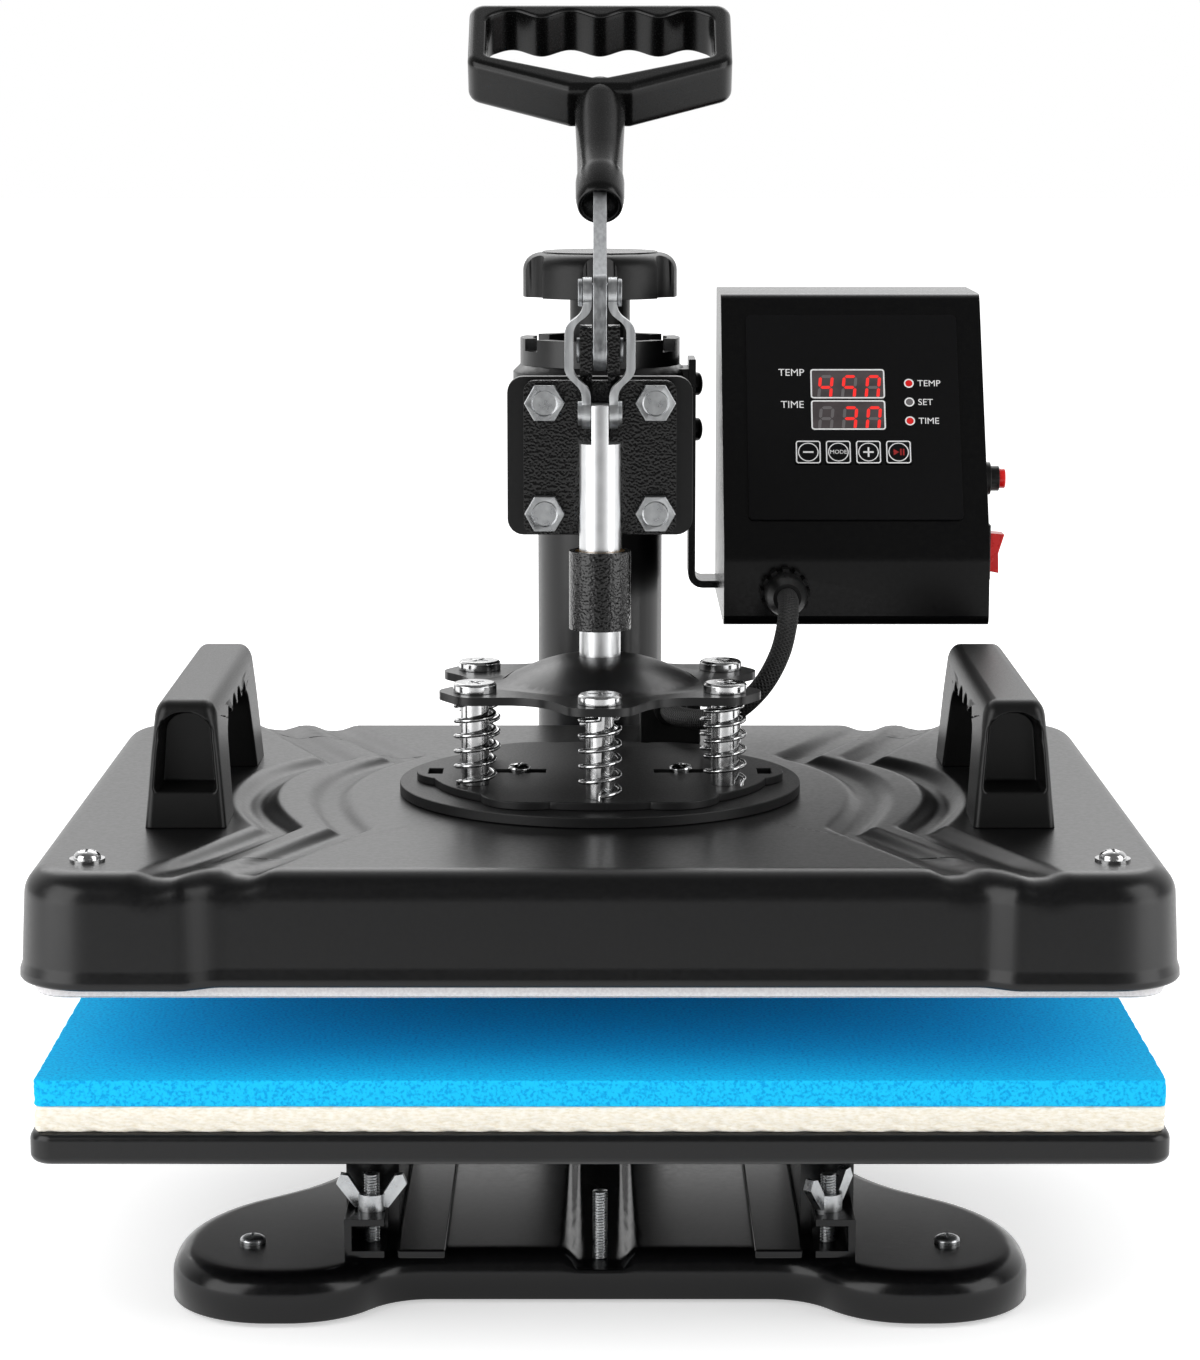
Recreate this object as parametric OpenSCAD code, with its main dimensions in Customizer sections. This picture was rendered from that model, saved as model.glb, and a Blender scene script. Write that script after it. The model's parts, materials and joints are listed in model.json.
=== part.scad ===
// Swing-away combo heat press: base and column, swinging head with toggle lever,
// sprung heating platen, padded lower tray and control box.
// Millimetres, +Z up, the operator stands on the -Y side.

/* [Platen] */
// Width of the heating plate and of the pads
platen_w = 380; // [340:5:420]
// Depth of the heating plate and of the pads
platen_d = 300; // [280:5:320]
// Thickness of the heating plate
plate_t = 12; // [8:1:14]
// Thickness of the white release sheet
sheet_t = 0.5; // [0.4:0.1:0.8]
// Thickness of the insulation blanket
blanket_t = 17; // [10:1:17]
// How far the cover's flange reaches past the plate
cover_margin = 6; // [4:1:10]
// Height of the formed cover
cover_h = 38.5; // [38:0.5:44]
// Sheet thickness of the formed cover
cover_wall = 2; // [1.5:0.5:2]
// How far the corner lobes stand proud of the cover's front and back
lobe_proud = 5.5; // [3:0.5:6]
// Radius of the round disc on the cover
disc_r = 74.3; // [70:1:80]
// Thickness of the round disc
disc_t = 4; // [3:0.5:5]
// Radius of the lobed plate on the disc
lobed_r = 64; // [60:1:66]
// Thickness of the lobed plate
lobed_t = 3; // [2:0.5:4]
// Open gap between release sheet and foam pad
press_gap = 27; // [20:1:30]

/* [Springs] */
// Radius of the circle that the spring bolts stand on
spring_circle = 52.5; // [48:0.5:54]
// Height of the springs at rest
spring_h = 31; // [28:1:36]
// Radius of a spring at the middle of its wire
spring_r = 7.1; // [6.8:0.1:7.4]
// Diameter of the spring wire
wire_d = 1.6; // [1.4:0.1:1.8]
// Turns of each spring
spring_turns = 5; // [4:1:6]
// Radius of a spring bolt's shoulder
bolt_r = 5.1; // [4.5:0.1:5.4]
// Radius of a spring bolt's head
bolt_head_r = 7.9; // [7.4:0.1:8.5]

/* [Lower tray] */
// Height of the tray's legs
leg_h = 50; // [44:1:60]
// Thickness of the tray
tray_t = 11; // [8:1:14]
// Thickness of the felt pad
felt_t = 9; // [6:1:12]
// Thickness of the silicone foam pad
foam_t = 9; // [6:1:12]

/* [Base and column] */
// Height of the base's deck
base_h = 19; // [18:1:24]
// Sheet thickness of the base
base_wall = 2.5; // [2:0.5:3]
// Radius of the column
column_r = 26; // [24:0.5:27]
// Wall of the column tube
column_wall = 4; // [3:0.5:5]
// Distance from the ram back to the column
column_back = 190; // [188:1:196]
// Distance from the column to the base's back edge
base_back = 55; // [50:1:65]
// Wall of the swing collar
collar_wall = 7.3; // [6:0.1:8]
// Lift that the pressure knob gives the head
lift_travel = 6; // [4:1:8]
// Radius of the pressure knob
knob_r = 32; // [28:1:36]
// Height of the pressure knob
knob_h = 18; // [14:1:22]

/* [Head] */
// Radius of the ram
ram_r = 7.6; // [7:0.1:8]
// Wall of the ram's bush
bush_wall = 1.6; // [1:0.1:2]
// Length of the guide boss
boss_h = 29; // [24:1:32]
// Width of the head plate
head_w = 69; // [66:1:74]
// Height of the head plate
head_h = 59; // [57:1:64]
// Spacing of the four head bolts
bolt_pitch = 41; // [38:1:42]

/* [Linkage] */
// Crank radius from the fulcrum to the lever pin
crank_r = 21; // [20:0.5:22]
// Length of the link straps between their pins
link_len = 44; // [43:0.5:46]
// Turn of the lever from open to closed, in degrees
lever_turn = 135; // [120:1:140]
// Thickness of the lever bar
lever_t = 5; // [4:0.5:6]
// Thickness of the link straps
strap_t = 3.2; // [2.5:0.1:3.4]
// Lean of the open lever back from upright, in degrees
lever_lean = 54; // [45:1:60]
// Radius of the fulcrum pin and the lever pin
pin_r = 3.5; // [3:0.1:3.8]

/* [Control box] */
// Width of the box
box_w = 105; // [100:1:115]
// Height of the box
box_h = 128; // [124:1:134]
// Depth of the box at its foot
box_d = 112; // [106:1:118]
// Height of the upright chin below the sloped panel
chin_h = 30; // [28:1:34]
// Lean of the panel back from upright, in degrees
panel_lean = 30; // [26:1:32]
// Sheet thickness of the box
box_wall = 2; // [1.5:0.5:2]
// Diameter of the heater cable
cable_d = 8; // [7:0.5:8]

/* [Hidden] */
// Running clearance of a pin or shaft, on the radius
fit = 0.05;
// Gap between pieces that move past each other
gap = 0.3;

// Heights of the stack, from the floor up
tray_z = base_h + leg_h;
felt_z = tray_z + tray_t;
foam_z = felt_z + felt_t;
foam_top = foam_z + foam_t;
sheet_z = foam_top + press_gap;
plate_z = sheet_z + sheet_t;
blanket_z = plate_z + plate_t;
cover_z = sheet_z + 5;
cover_top = cover_z + cover_h;
disc_z = cover_top;
lobed_z = disc_z + disc_t;
seat_z = lobed_z + lobed_t;
spider_t = 3;
spider_z = seat_z + spring_h + 0.1;
spider_top = spider_z + spider_t;
dome_rise = 9.5;
dome_top = spider_top + dome_rise;
boss_z = dome_top + 10;
boss_top = boss_z + boss_h;
head_z = boss_top + 3.5;
head_top = head_z + head_h;
fulcrum_z = head_top + 11;
lever_pin_z = fulcrum_z + crank_r;
link_pin_z = lever_pin_z - link_len;
head_mid = head_z + head_h / 2;

// Travel of the linkage
closed_drop = crank_r * (1 - cos(lever_turn)) - link_len
    + sqrt(link_len * link_len - pow(crank_r * sin(lever_turn), 2));
link_tilt = asin(crank_r * sin(lever_turn) / link_len);
platen_drop = press_gap - gap;
echo(closed_drop = closed_drop, platen_drop = platen_drop, link_tilt = link_tilt);

// The frame's origin lies under the middle of the object: the ram stands in front of it
cover_half_w = platen_w / 2 + cover_margin;
cover_half_d = platen_d / 2 + cover_margin;
ram_y = (cover_half_d - column_back - base_back) / 2;

// The heating plate keeps clear of the cover's wall where the front and back are recessed
cover_clear = 2.5;
plate_w = 2 * (cover_half_w - cover_wall - 4);
plate_d = 2 * (cover_half_d - lobe_proud - cover_wall - cover_clear - sheet_t);
plate_corner = 12;

// Column, lift and collar
column_top = head_z + 33.5;
collar_in_r = column_r + 3;
collar_r = collar_in_r + collar_wall;
collar_z = head_z - 4;
cap_z = column_top + gap;
cap_t = 3.7;
shoulder_z = cap_z + cap_t + fit;
ring_z = shoulder_z + 14;
ring_h = 11;
screw_r = 8;
screw_z = column_top - 34 - lift_travel;
stem_r = 12.5;
knob_z = ring_z + ring_h + 17;
bush_z = collar_z + 4;

// Casting and head plate
casting_w = head_w - 12.5;
casting_t = 7;
casting_y = 12;
plate_y = casting_y + casting_t;
head_plate_t = 6;
beam_y = plate_y + head_plate_t;
head_bolt_r = 4;
bolt_head_t = 5;
ear_in = lever_t / 2 + 0.4;
ear_t = 4.4;
ear_out = ear_in + ear_t;

// Link straps
strap_top = lever_t / 2 + 0.5;
strap_bow = ear_out + 2.4;
tongue_half = 3.1;
strap_foot = tongue_half + gap;
strap_half = 4.5;

// Screws and studs
stud_r = 2.8;
stud_x = 81;
stud_y = -84;
foot_x = 124;
foot_y = -79;
rear_foot_x = 95;
rear_foot_y = column_back + base_back - 42;
clamp_top = base_h + 14;
clamp_t = 2.5;

// Control box
box_x = 49;
box_mid = box_x + box_w / 2;
box_side = box_x + box_w;
chin_y = 95;
box_z = boss_z - 13;
step_z = box_z + chin_h;
box_top = box_z + box_h;
slope_y = chin_y + (box_h - chin_h) * tan(panel_lean);
box_back = chin_y + box_d;
switch_y = chin_y + 26;
rocker_x = box_side + 0.5;
rocker_z = box_z + 27;
button_z = box_z + 56;
rocker_tilt = 8;
gland_x = box_x + 24;
gland_z = box_z + 14;
overlay_t = 1;
board_gap = 4.4;
bracket_t = 3;
bracket_w = 24;
bracket_x = collar_r + 0.5;
bracket_z = box_z + 4;
bracket_bolts_z = [collar_z + 28, collar_z + 47];
cable_r = cable_d / 2;
inlet_x = 28;
inlet_y = 93;
cable_z = cover_top + 14.5;

// Route of the heater cable from its gland to its inlet: x and y from the ram's axis,
// and the part of the drop that is still to come
cable_points = [
    [73, 74, 1], [73, 64, 0.98], [72, 53, 0.86], [69, 45, 0.64], [63, 41, 0.41], [55, 42, 0.22],
    [47, 48, 0.1], [40, 58, 0.04], [34, 69, 0.01], [30, 78, 0], [28, 86, 0], [28, 93, 0]
];
cable_route = [for (p = cable_points) [p[0], p[1], cable_z + p[2] * (gland_z - cable_z)]];

$fn = 48;

// Points of an arc about c from angle a to angle b
function arc(c, r, a, b, n) =
    [for (i = [0:n]) c + r * [cos(a + (b - a) * i / n), sin(a + (b - a) * i / n)]];

function unit(v) = v / norm(v);

// A closed outline from corners [x, y, r], each corner rounded to its radius with n steps
function rounded(corners, n) = [
    for (i = [0:len(corners) - 1])
        let (m = len(corners),
             p = [corners[i][0], corners[i][1]],
             before = corners[(i + m - 1) % m],
             after = corners[(i + 1) % m],
             u = unit([before[0], before[1]] - p),
             w = unit([after[0], after[1]] - p),
             r = corners[i][2],
             half = acos(max(-1, min(1, u * w))) / 2,
             centre = p + unit(u + w) * r / sin(half),
             from = p + u * r / tan(half) - centre,
             turn = (u[0] * w[1] - u[1] * w[0] < 0 ? 1 : -1) * (180 - 2 * half),
             a = atan2(from[1], from[0]))
        each arc(centre, r, a, a + turn, n)
];

// The outline moved inwards by d along its normals (counter-clockwise outline)
function inset(outline, d) = [
    for (i = [0:len(outline) - 1])
        let (m = len(outline),
             t = unit(outline[(i + 1) % m] - outline[(i + m - 1) % m]))
        outline[i] + d * [-t[1], t[0]]
];

function ring_at(outline, z) = [for (p = outline) [p[0], p[1], z]];

// A closed solid through rings of equal point number, its two ends closed as fans about hub points
module loft(rings, hub_low, hub_high) {
    n = len(rings[0]);
    last = len(rings) - 1;
    low = len(rings) * n;
    sides = [for (k = [0:last - 1], i = [0:n - 1])
        let (a = k * n + i, b = k * n + (i + 1) % n)
        each [[a, a + n, b], [b, a + n, b + n]]];
    ends = [for (i = [0:n - 1])
        let (j = (i + 1) % n)
        each [[low, i, j], [low + 1, last * n + j, last * n + i]]];
    polyhedron(concat([for (r = rings) each r], [hub_low, hub_high]), concat(sides, ends));
}

// A pan turned over: skirt from z0 with a rounded top edge of radius r at z1, every point seen from hub_y
module pan(outline, z0, z1, r, draft, hub_y) {
    steps = 4;
    rings = concat(
        [ring_at(outline, z0)],
        [for (i = [0:steps]) ring_at(inset(outline, draft + r * (1 - cos(90 * i / steps))),
                                     z1 - r + r * sin(90 * i / steps))]);
    loft(rings, [0, hub_y, z0], [0, hub_y, z1]);
}

// A tube of the given radius swept along a path, its frame carried along without twist
function frames(path, i, side) =
    i >= len(path) ? [] :
    let (t = unit(path[min(i + 1, len(path) - 1)] - path[max(i - 1, 0)]),
         s = unit(side - t * (side * t)))
    concat([[s, cross(t, s)]], frames(path, i + 1, s));

module tube(path, r, sides, side) {
    f = frames(path, 0, side);
    loft([for (i = [0:len(path) - 1])
        [for (k = [0:sides - 1])
            path[i] + r * (cos(-360 * k / sides) * f[i][0] + sin(-360 * k / sides) * f[i][1])]],
        path[0], path[len(path) - 1]);
}

module at_ram() translate([0, ram_y, 0]) children();
module at_column() translate([0, ram_y + column_back, 0]) children();

module rounded_rect(w, d, r) polygon(rounded([[-w / 2, -d / 2, r], [w / 2, -d / 2, r],
                                              [w / 2, d / 2, r], [-w / 2, d / 2, r]], 6));

// Extrudes a drawing of [y, z] by w, centred on x = 0
module across(w) rotate([90, 0, 90]) linear_extrude(w, center = true) children();

// Base

base_outline = let (c = column_back)
    rounded([[72, -92, 25], [92, -118, 35], [152, -118, 36], [152, -44, 70], [92, 10, 80],
             [92, c - 60, 60], [130, c - 25, 40], [130, c + base_back, 45],
             [-130, c + base_back, 45], [-130, c - 25, 40], [-92, c - 60, 60], [-92, 10, 80],
             [-152, -44, 70], [-152, -118, 36], [-92, -118, 35], [-72, -92, 25]], 6);
base_hub = column_back - 130;
groove_half = 7.4;
groove_depth = 4.6;
deck_under = base_h - base_wall;

module base_shell() color("#1c1c1e") at_ram() difference() {
    pan(base_outline, 2, base_h, 8, 0, base_hub);
    difference() {
        translate([0, 0, -1]) pan(inset(base_outline, base_wall), 2, deck_under + 1, 6, 0, base_hub);
        groove(base_wall);
    }
    groove(0);
    foot_places() translate([0, 0, 1]) cylinder(r = 2 + fit, h = base_h + 1);
    for (s = [-1, 1]) translate([s * stud_x, stud_y, 1]) cylinder(r = stud_r + fit, h = base_h + 1);
    translate([0, column_back, 1]) cylinder(r = column_r + fit, h = base_h + 1);
}

// The pressed groove along the middle of the deck, grown by t all round
module groove(t) translate([0, 9, 0]) rotate([90, 0, 0]) linear_extrude(220, center = true)
    polygon([[-groove_half - groove_depth - t - 1, base_h + 1], [-groove_half - t, base_h - groove_depth - t],
             [groove_half + t, base_h - groove_depth - t], [groove_half + groove_depth + t + 1, base_h + 1]]);

module foot_places() {
    for (s = [-1, 1]) {
        translate([s * foot_x, foot_y, 0]) children();
        translate([s * rear_foot_x, rear_foot_y, 0]) children();
    }
}

module rubber_feet() color("#151515") at_ram() foot_places() difference() {
    cylinder(r = 12, h = deck_under);
    translate([0, 0, deck_under - 11]) cylinder(r = 2 + fit, h = 12);
}

module pan_screw(head_r, head_h, shank_r, shank_h) rotate_extrude()
    polygon(concat([[0, -shank_h], [shank_r, -shank_h], [shank_r, 0], [head_r, 0], [head_r, head_h * 0.35]],
                   [for (a = [15:15:75]) [head_r * cos(a), head_h * (0.35 + 0.65 * sin(a))]], [[0, head_h]]));

module cheese_screw(head_r, head_h, shank_r, shank_h) rotate_extrude()
    polygon([[0, -shank_h], [shank_r, -shank_h], [shank_r, 0], [head_r, 0], [head_r, head_h - 0.8],
             [head_r - 0.8, head_h], [0, head_h]]);

module cross_slot(size, h) for (a = [0, 90]) rotate([0, 0, a]) translate([0, 0, h])
    cube([size, size * 0.18, 2], center = true);

module foot_screws() color("silver") at_ram() foot_places() translate([0, 0, base_h]) difference() {
    pan_screw(4.6, 3, 2, base_wall + 10);
    cross_slot(5, 3);
}

module deck_rails() color("#202022") at_ram() for (s = [-1, 1])
    translate([s * 63 - 8.5, -98, base_h]) cube([17, 176, 3.2]);

// Threads are drawn as close ridges about a plain core
module threaded_rod(r, z0, z1, pitch) {
    n = floor((z1 - z0) / pitch);
    rotate_extrude() polygon(concat([[0, z0]],
        [for (i = [0:n - 1]) each [[r * 0.86, z0 + i * pitch], [r, z0 + (i + 0.5) * pitch]]],
        [[r * 0.86, z0 + n * pitch], [0, z0 + n * pitch]]));
}

module threaded_studs() color("silver") at_ram() {
    for (s = [-1, 1]) translate([s * stud_x, stud_y, 0]) {
        translate([0, 0, deck_under - 5]) cylinder(r = stud_r, h = clamp_top + 18 - deck_under);
        translate([0, 0, deck_under - 5]) cylinder(r = stud_r * 2, h = 5, $fn = 6);
    }
    translate([0, -82, 0]) threaded_rod(2.7, base_h - groove_depth, base_h + 20, 1);
}

module column() color("#18181a") at_column() difference() {
    union() {
        translate([0, 0, 4]) cylinder(r = column_r, h = column_top - 4);
        translate([0, 0, base_h]) cylinder(r = column_r + 12, h = 5);
    }
    translate([0, 0, 3]) cylinder(r = column_r - column_wall, h = column_top);
}

module column_nut() color("silver") at_column() translate([0, 0, column_top - 34]) difference() {
    cylinder(r = column_r - column_wall, h = 28);
    translate([0, 0, -1]) cylinder(r = screw_r + fit, h = 30);
}

// Lower tray

leg_in = 72;
leg_out = 91;
// The legs start far enough back for the wing nuts to turn
leg_front = stud_y + 13.5;
leg_len = 71 - leg_front;

module tray_legs() color("#1b1b1d") at_ram() for (s = [0, 1]) mirror([s, 0, 0])
    difference() {
        union() {
            translate([leg_in, leg_front, base_h]) cube([leg_out - leg_in, leg_len, leg_h]);
            translate([76, -97, base_h]) cube([14, leg_front + 98, clamp_top - base_h]);
        }
        translate([leg_in + 3, leg_front + 3, base_h - 1])
            cube([leg_out - leg_in - 6, leg_len - 6, leg_h - 2]);
        translate([75, -98, base_h + clamp_t])
            cube([15 - clamp_t, leg_front + 97, clamp_top - base_h - 2 * clamp_t]);
        translate([stud_x, stud_y, base_h - 1]) cylinder(r = stud_r + fit, h = leg_h);
    }

module lower_tray() color("#202022") at_ram() translate([0, 0, tray_z]) linear_extrude(tray_t)
    rounded_rect(platen_w + 4, platen_d + 4, 8);

module felt_pad() color("#f4ead6") at_ram() translate([0, 0, felt_z]) linear_extrude(felt_t)
    rounded_rect(platen_w, platen_d, 2);

module foam_pad() color("#12a8ee") at_ram() translate([0, 0, foam_z]) linear_extrude(foam_t)
    rounded_rect(platen_w, platen_d, 2);

module wing_nut() difference() {
    union() {
        cylinder(r = 5, h = 6);
        for (s = [-1, 1]) rotate([90, 0, 0]) linear_extrude(3.4, center = true)
            polygon([[s * 3.5, 1], [s * 6, 1], [s * 12.5, 9.5], [s * 11, 13], [s * 8.4, 12.6], [s * 3.5, 5]]);
    }
    translate([0, 0, -1]) cylinder(r = stud_r + fit, h = 16);
}

module wing_nut_left() color("silver") at_ram() translate([-stud_x, stud_y, clamp_top]) wing_nut();
module wing_nut_right() color("silver") at_ram() translate([stud_x, stud_y, clamp_top])
    rotate([0, 0, 50]) wing_nut();

// Lift and knob

module lift_bush() color("#d8d2c0") at_column() difference() {
    translate([0, 0, bush_z]) cylinder(r = collar_in_r - fit, h = cap_z + cap_t - bush_z);
    translate([0, 0, bush_z - 1]) cylinder(r = column_r + fit, h = cap_z - bush_z + 1);
    translate([0, 0, cap_z - 1]) cylinder(r = screw_r + fit, h = cap_t + 2);
}

module pressure_knob() color("#161616") at_column() difference() {
    union() {
        translate([0, 0, cap_z + cap_t]) cylinder(r = stem_r, h = knob_z - cap_z - cap_t + 1);
        translate([0, 0, knob_z]) rotate_extrude() polygon(concat(
            [[0, 0], [knob_r, 0]], arc([knob_r - 7, knob_h - 7], 7, 0, 90, 7), [[0, knob_h]]));
    }
    for (i = [0:5]) rotate([0, 0, 60 * i - 90]) translate([knob_r + 5, 0, knob_z - 1])
        cylinder(r = 9, h = knob_h + 2);
    translate([0, 0, knob_z + knob_h - 1.5]) cylinder(r = knob_r - 8, h = 3);
    translate([0, 0, cap_z + cap_t - 1]) cylinder(r = screw_r, h = 30);
}

module knob_cap() color("#202020") at_column() translate([0, 0, knob_z + knob_h - 1.5])
    cylinder(r = knob_r - 8, h = 2.2);

module pressure_screw() color("silver") at_column() {
    translate([0, 0, screw_z]) cylinder(r = screw_r, h = cap_z + cap_t + 29 - screw_z);
}

// Swing collar and arm

module swing_collar() color("#19191b") at_column() difference() {
    union() {
        translate([0, 0, collar_z]) cylinder(r = collar_r, h = ring_z - 3 - collar_z);
        translate([0, 0, ring_z - 3]) cylinder(r1 = collar_r, r2 = collar_r - 3, h = 3);
        translate([collar_r - 14, -bracket_w / 2, collar_z + 18])
            cube([bracket_x - collar_r + 14, bracket_w, 36]);
    }
    translate([0, 0, collar_z - 1]) cylinder(r = collar_in_r, h = shoulder_z - collar_z + 1);
    translate([0, 0, collar_z]) cylinder(r = stem_r + 8, h = ring_z);
    translate([0, 0, shoulder_z + 4]) cylinder(r = collar_in_r - 1, h = 20);
    for (z = bracket_bolts_z) translate([collar_r - 5, 0, z]) rotate([0, 90, 0])
        cylinder(r = 2.5 + fit, h = 10);
}

module collar_ring() color("#1d1d1f") at_column() difference() {
    translate([0, 0, ring_z]) cylinder(r = collar_r - 3, h = ring_h);
    translate([0, 0, ring_z - 1]) cylinder(r = collar_in_r - 1, h = ring_h + 2);
    for (i = [0:5]) rotate([0, 0, 60 * i + 30]) translate([collar_r - 10, -5, ring_z + ring_h - 5])
        cube([14, 10, 8]);
}

beam_h = 38;
beam_w = 60;

module arm_beam() color("#19191b") at_ram() difference() {
    translate([-beam_w / 2, beam_y, head_z + 3]) cube([beam_w, column_back - beam_y, beam_h]);
    translate([-beam_w / 2 + 4, beam_y - 1, head_z + 7]) cube([beam_w - 8, column_back, beam_h - 8]);
    translate([0, column_back, 0]) cylinder(r = collar_r, h = head_top);
}

module bolt_places() for (sx = [-1, 1], sz = [-1, 1])
    translate([sx * bolt_pitch / 2, 0, head_mid + sz * bolt_pitch / 2]) children();

module head_plate() color("#1a1a1c") at_ram() difference() {
    translate([0, plate_y + head_plate_t, head_mid]) rotate([90, 0, 0]) linear_extrude(head_plate_t)
        rounded_rect(head_w, head_h, 6);
    bolt_places() translate([0, beam_y + 1, 0]) rotate([90, 0, 0]) cylinder(r = head_bolt_r + fit, h = 12);
}

// Ear of the fulcrum, drawn in [y, z]
module ear_shape() {
    translate([0, fulcrum_z]) difference() {
        circle(r = 9.4);
        translate([-20, -10]) square([15, 20]);
    }
    polygon([[2, fulcrum_z + 9], [casting_y, fulcrum_z + 6], [plate_y, head_top], [plate_y, head_top - 14],
             [casting_y, head_top - 14], [6, fulcrum_z - 7.5], [-2, fulcrum_z - 9]]);
}

module head_casting() color("#1e1e20") at_ram() difference() {
    union() {
        translate([0, plate_y, head_mid]) rotate([90, 0, 0]) linear_extrude(casting_t)
            rounded_rect(casting_w, head_h - 2, 4);
        for (s = [-1, 1]) translate([s * (ear_in + ear_t / 2), 0, 0]) across(ear_t) ear_shape();
        translate([0, 0, boss_z]) cylinder(r = ram_r + bush_wall + 2.2, h = boss_h);
        translate([-8, 6, boss_z]) cube([16, plate_y - 6, head_z + 6 - boss_z]);
    }
    translate([0, 0, boss_z - 1]) cylinder(r = ram_r + bush_wall, h = boss_h + 2);
    translate([0, 0, boss_top]) cylinder(r = ram_r + bush_wall + 0.5, h = 20);
    bolt_places() translate([0, plate_y + 1, 0]) rotate([90, 0, 0]) cylinder(r = head_bolt_r + fit, h = 12);
    translate([0, 0, fulcrum_z]) rotate([0, 90, 0]) cylinder(r = pin_r, h = 40, center = true);
}

module head_bolts() color("silver") at_ram() bolt_places() {
    translate([0, casting_y, 0]) rotate([90, 0, 0]) difference() {
        cylinder(r = 7.5, h = bolt_head_t, $fn = 6);
        translate([0, 0, bolt_head_t - 0.8]) cylinder(r = 4.6, h = 2);
    }
    translate([0, beam_y, 0]) rotate([90, 0, 0]) cylinder(r = head_bolt_r, h = beam_y - casting_y + 0.5);
}

module ram_bush() color("#b08d4a") at_ram() translate([0, 0, boss_z]) difference() {
    cylinder(r = ram_r + bush_wall, h = boss_h);
    translate([0, 0, -1]) cylinder(r = ram_r + fit, h = boss_h + 2);
}

module headed_pin(r, half, head_r, head_t) rotate([0, 90, 0]) {
    cylinder(r = r, h = 2 * half, center = true);
    for (s = [-1, 1]) translate([0, 0, s * (half + head_t / 2)])
        cylinder(r = head_r, h = head_t, center = true);
}

module fulcrum_pin() color("silver") at_ram() translate([0, 0, fulcrum_z])
    headed_pin(pin_r, ear_out, 4.6, 1.2);

// Lever and links

lean_y = sin(lever_lean);
lean_z = cos(lever_lean);

// Places what is drawn up the handle's own axis, with its flat face towards the operator
module along_lever(s) at_ram() translate([0, s * lean_y, lever_pin_z + s * lean_z])
    rotate([-lever_lean, 0, 0]) children();

stem_start = 51;
stem_reach = 34;
handle_end = 169;
grip_half = 51.5;
grip_t = 20;
fork = handle_end - 57;
finger_pitch = (grip_half - 5) / 2;

module lever_bar() color("#b9bbbd") at_ram() difference() {
    across(lever_t) union() {
        translate([0, fulcrum_z]) circle(r = 7.5);
        translate([-7, fulcrum_z]) square([14, crank_r]);
        translate([0, lever_pin_z]) circle(r = 7);
        translate([0, lever_pin_z]) rotate(-lever_lean) translate([-6.5, 0])
            square([13, stem_start + stem_reach]);
    }
    for (z = [fulcrum_z, lever_pin_z]) translate([0, 0, z]) rotate([0, 90, 0])
        cylinder(r = pin_r + (z == fulcrum_z ? fit : 0), h = 20, center = true);
}

// Loop of the handle: a fork from the stem, two sides and a top bar that waves under the fingers
module grip_outline() difference() {
    polygon(rounded([[-12, fork, 4], [12, fork, 4], [grip_half, fork + 17, 7], [grip_half, handle_end, 6],
                     [-grip_half, handle_end, 6], [-grip_half, fork + 17, 7]], 5));
    intersection() {
        polygon(rounded([[0, fork + 6.5, 3], [grip_half - 7, fork + 21.5, 3],
                         [grip_half - 7, handle_end - 4, 3], [7 - grip_half, handle_end - 4, 3],
                         [7 - grip_half, fork + 21.5, 3]], 5));
        polygon(concat([[-grip_half, fork], [grip_half, fork]], [for (i = [24:-1:-24])
            let (x = i * grip_half / 24)
            [x, handle_end - 7.4 - 2.2 * cos(360 * x / finger_pitch)]]));
    }
}

module grip_stem() rotate_extrude()
    polygon([[0, 0], [8.2, 0], [8.9, 3], [8.9, 15], [8.2, 19], [8.2, 30], [9.2, 49],
             [9.4, fork - stem_start - 4], [9.4, fork - stem_start + 4], [0, fork - stem_start + 4]]);

module lever_handle() color("#141414") difference() {
    union() {
        along_lever(0) rotate([90, 0, 0]) linear_extrude(grip_t, center = true) grip_outline();
        along_lever(stem_start) grip_stem();
    }
    along_lever(stem_start - 1) translate([-lever_t / 2, -6.5, 0]) cube([lever_t, 13, stem_reach + 1]);
    along_lever(stem_start - 1) cylinder(r = 6.8, h = 5);
}

module lever_pin() color("silver") at_ram() translate([0, 0, lever_pin_z])
    headed_pin(pin_r, strap_top + strap_t + 0.2, 5, 1.6);

// One strap from the front, drawn in [x, z] as inner edge down and outer edge up, with round bends
module strap_profile() {
    c = -crank_r;
    edge = [[strap_top, 12, 0.2], [strap_top, c + 14, 6], [strap_bow, c + 9, 6], [strap_bow, c - 8.5, 6],
            [strap_foot, c - 14.5, 6], [strap_foot, c - 34, 0.2]];
    polygon(rounded(concat(edge, [for (i = [5:-1:0]) edge[i] + [strap_t, 0, 0]]), 6));
}

module strap_side() {
    for (z = [0, -link_len]) translate([0, z]) circle(r = 5.6);
    translate([-strap_half, -link_len]) square([2 * strap_half, link_len]);
}

module link_straps() color("#c4c6c8") at_ram() for (s = [0, 1]) mirror([s, 0, 0])
    translate([0, 0, lever_pin_z]) difference() {
        union() {
            intersection() {
                rotate([90, 0, 0]) linear_extrude(20, center = true) strap_profile();
                translate([20, 0, 0]) across(40) strap_side();
            }
            translate([strap_foot + strap_t - 0.5, 0, -link_len]) rotate([0, 90, 0]) cylinder(r = 4.4, h = 2);
        }
        rotate([0, 90, 0]) cylinder(r = pin_r + fit, h = 12);
    }

// Ram and spider

tongue_z = link_pin_z - 11;
ram_top = link_pin_z + 3.2;

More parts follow.
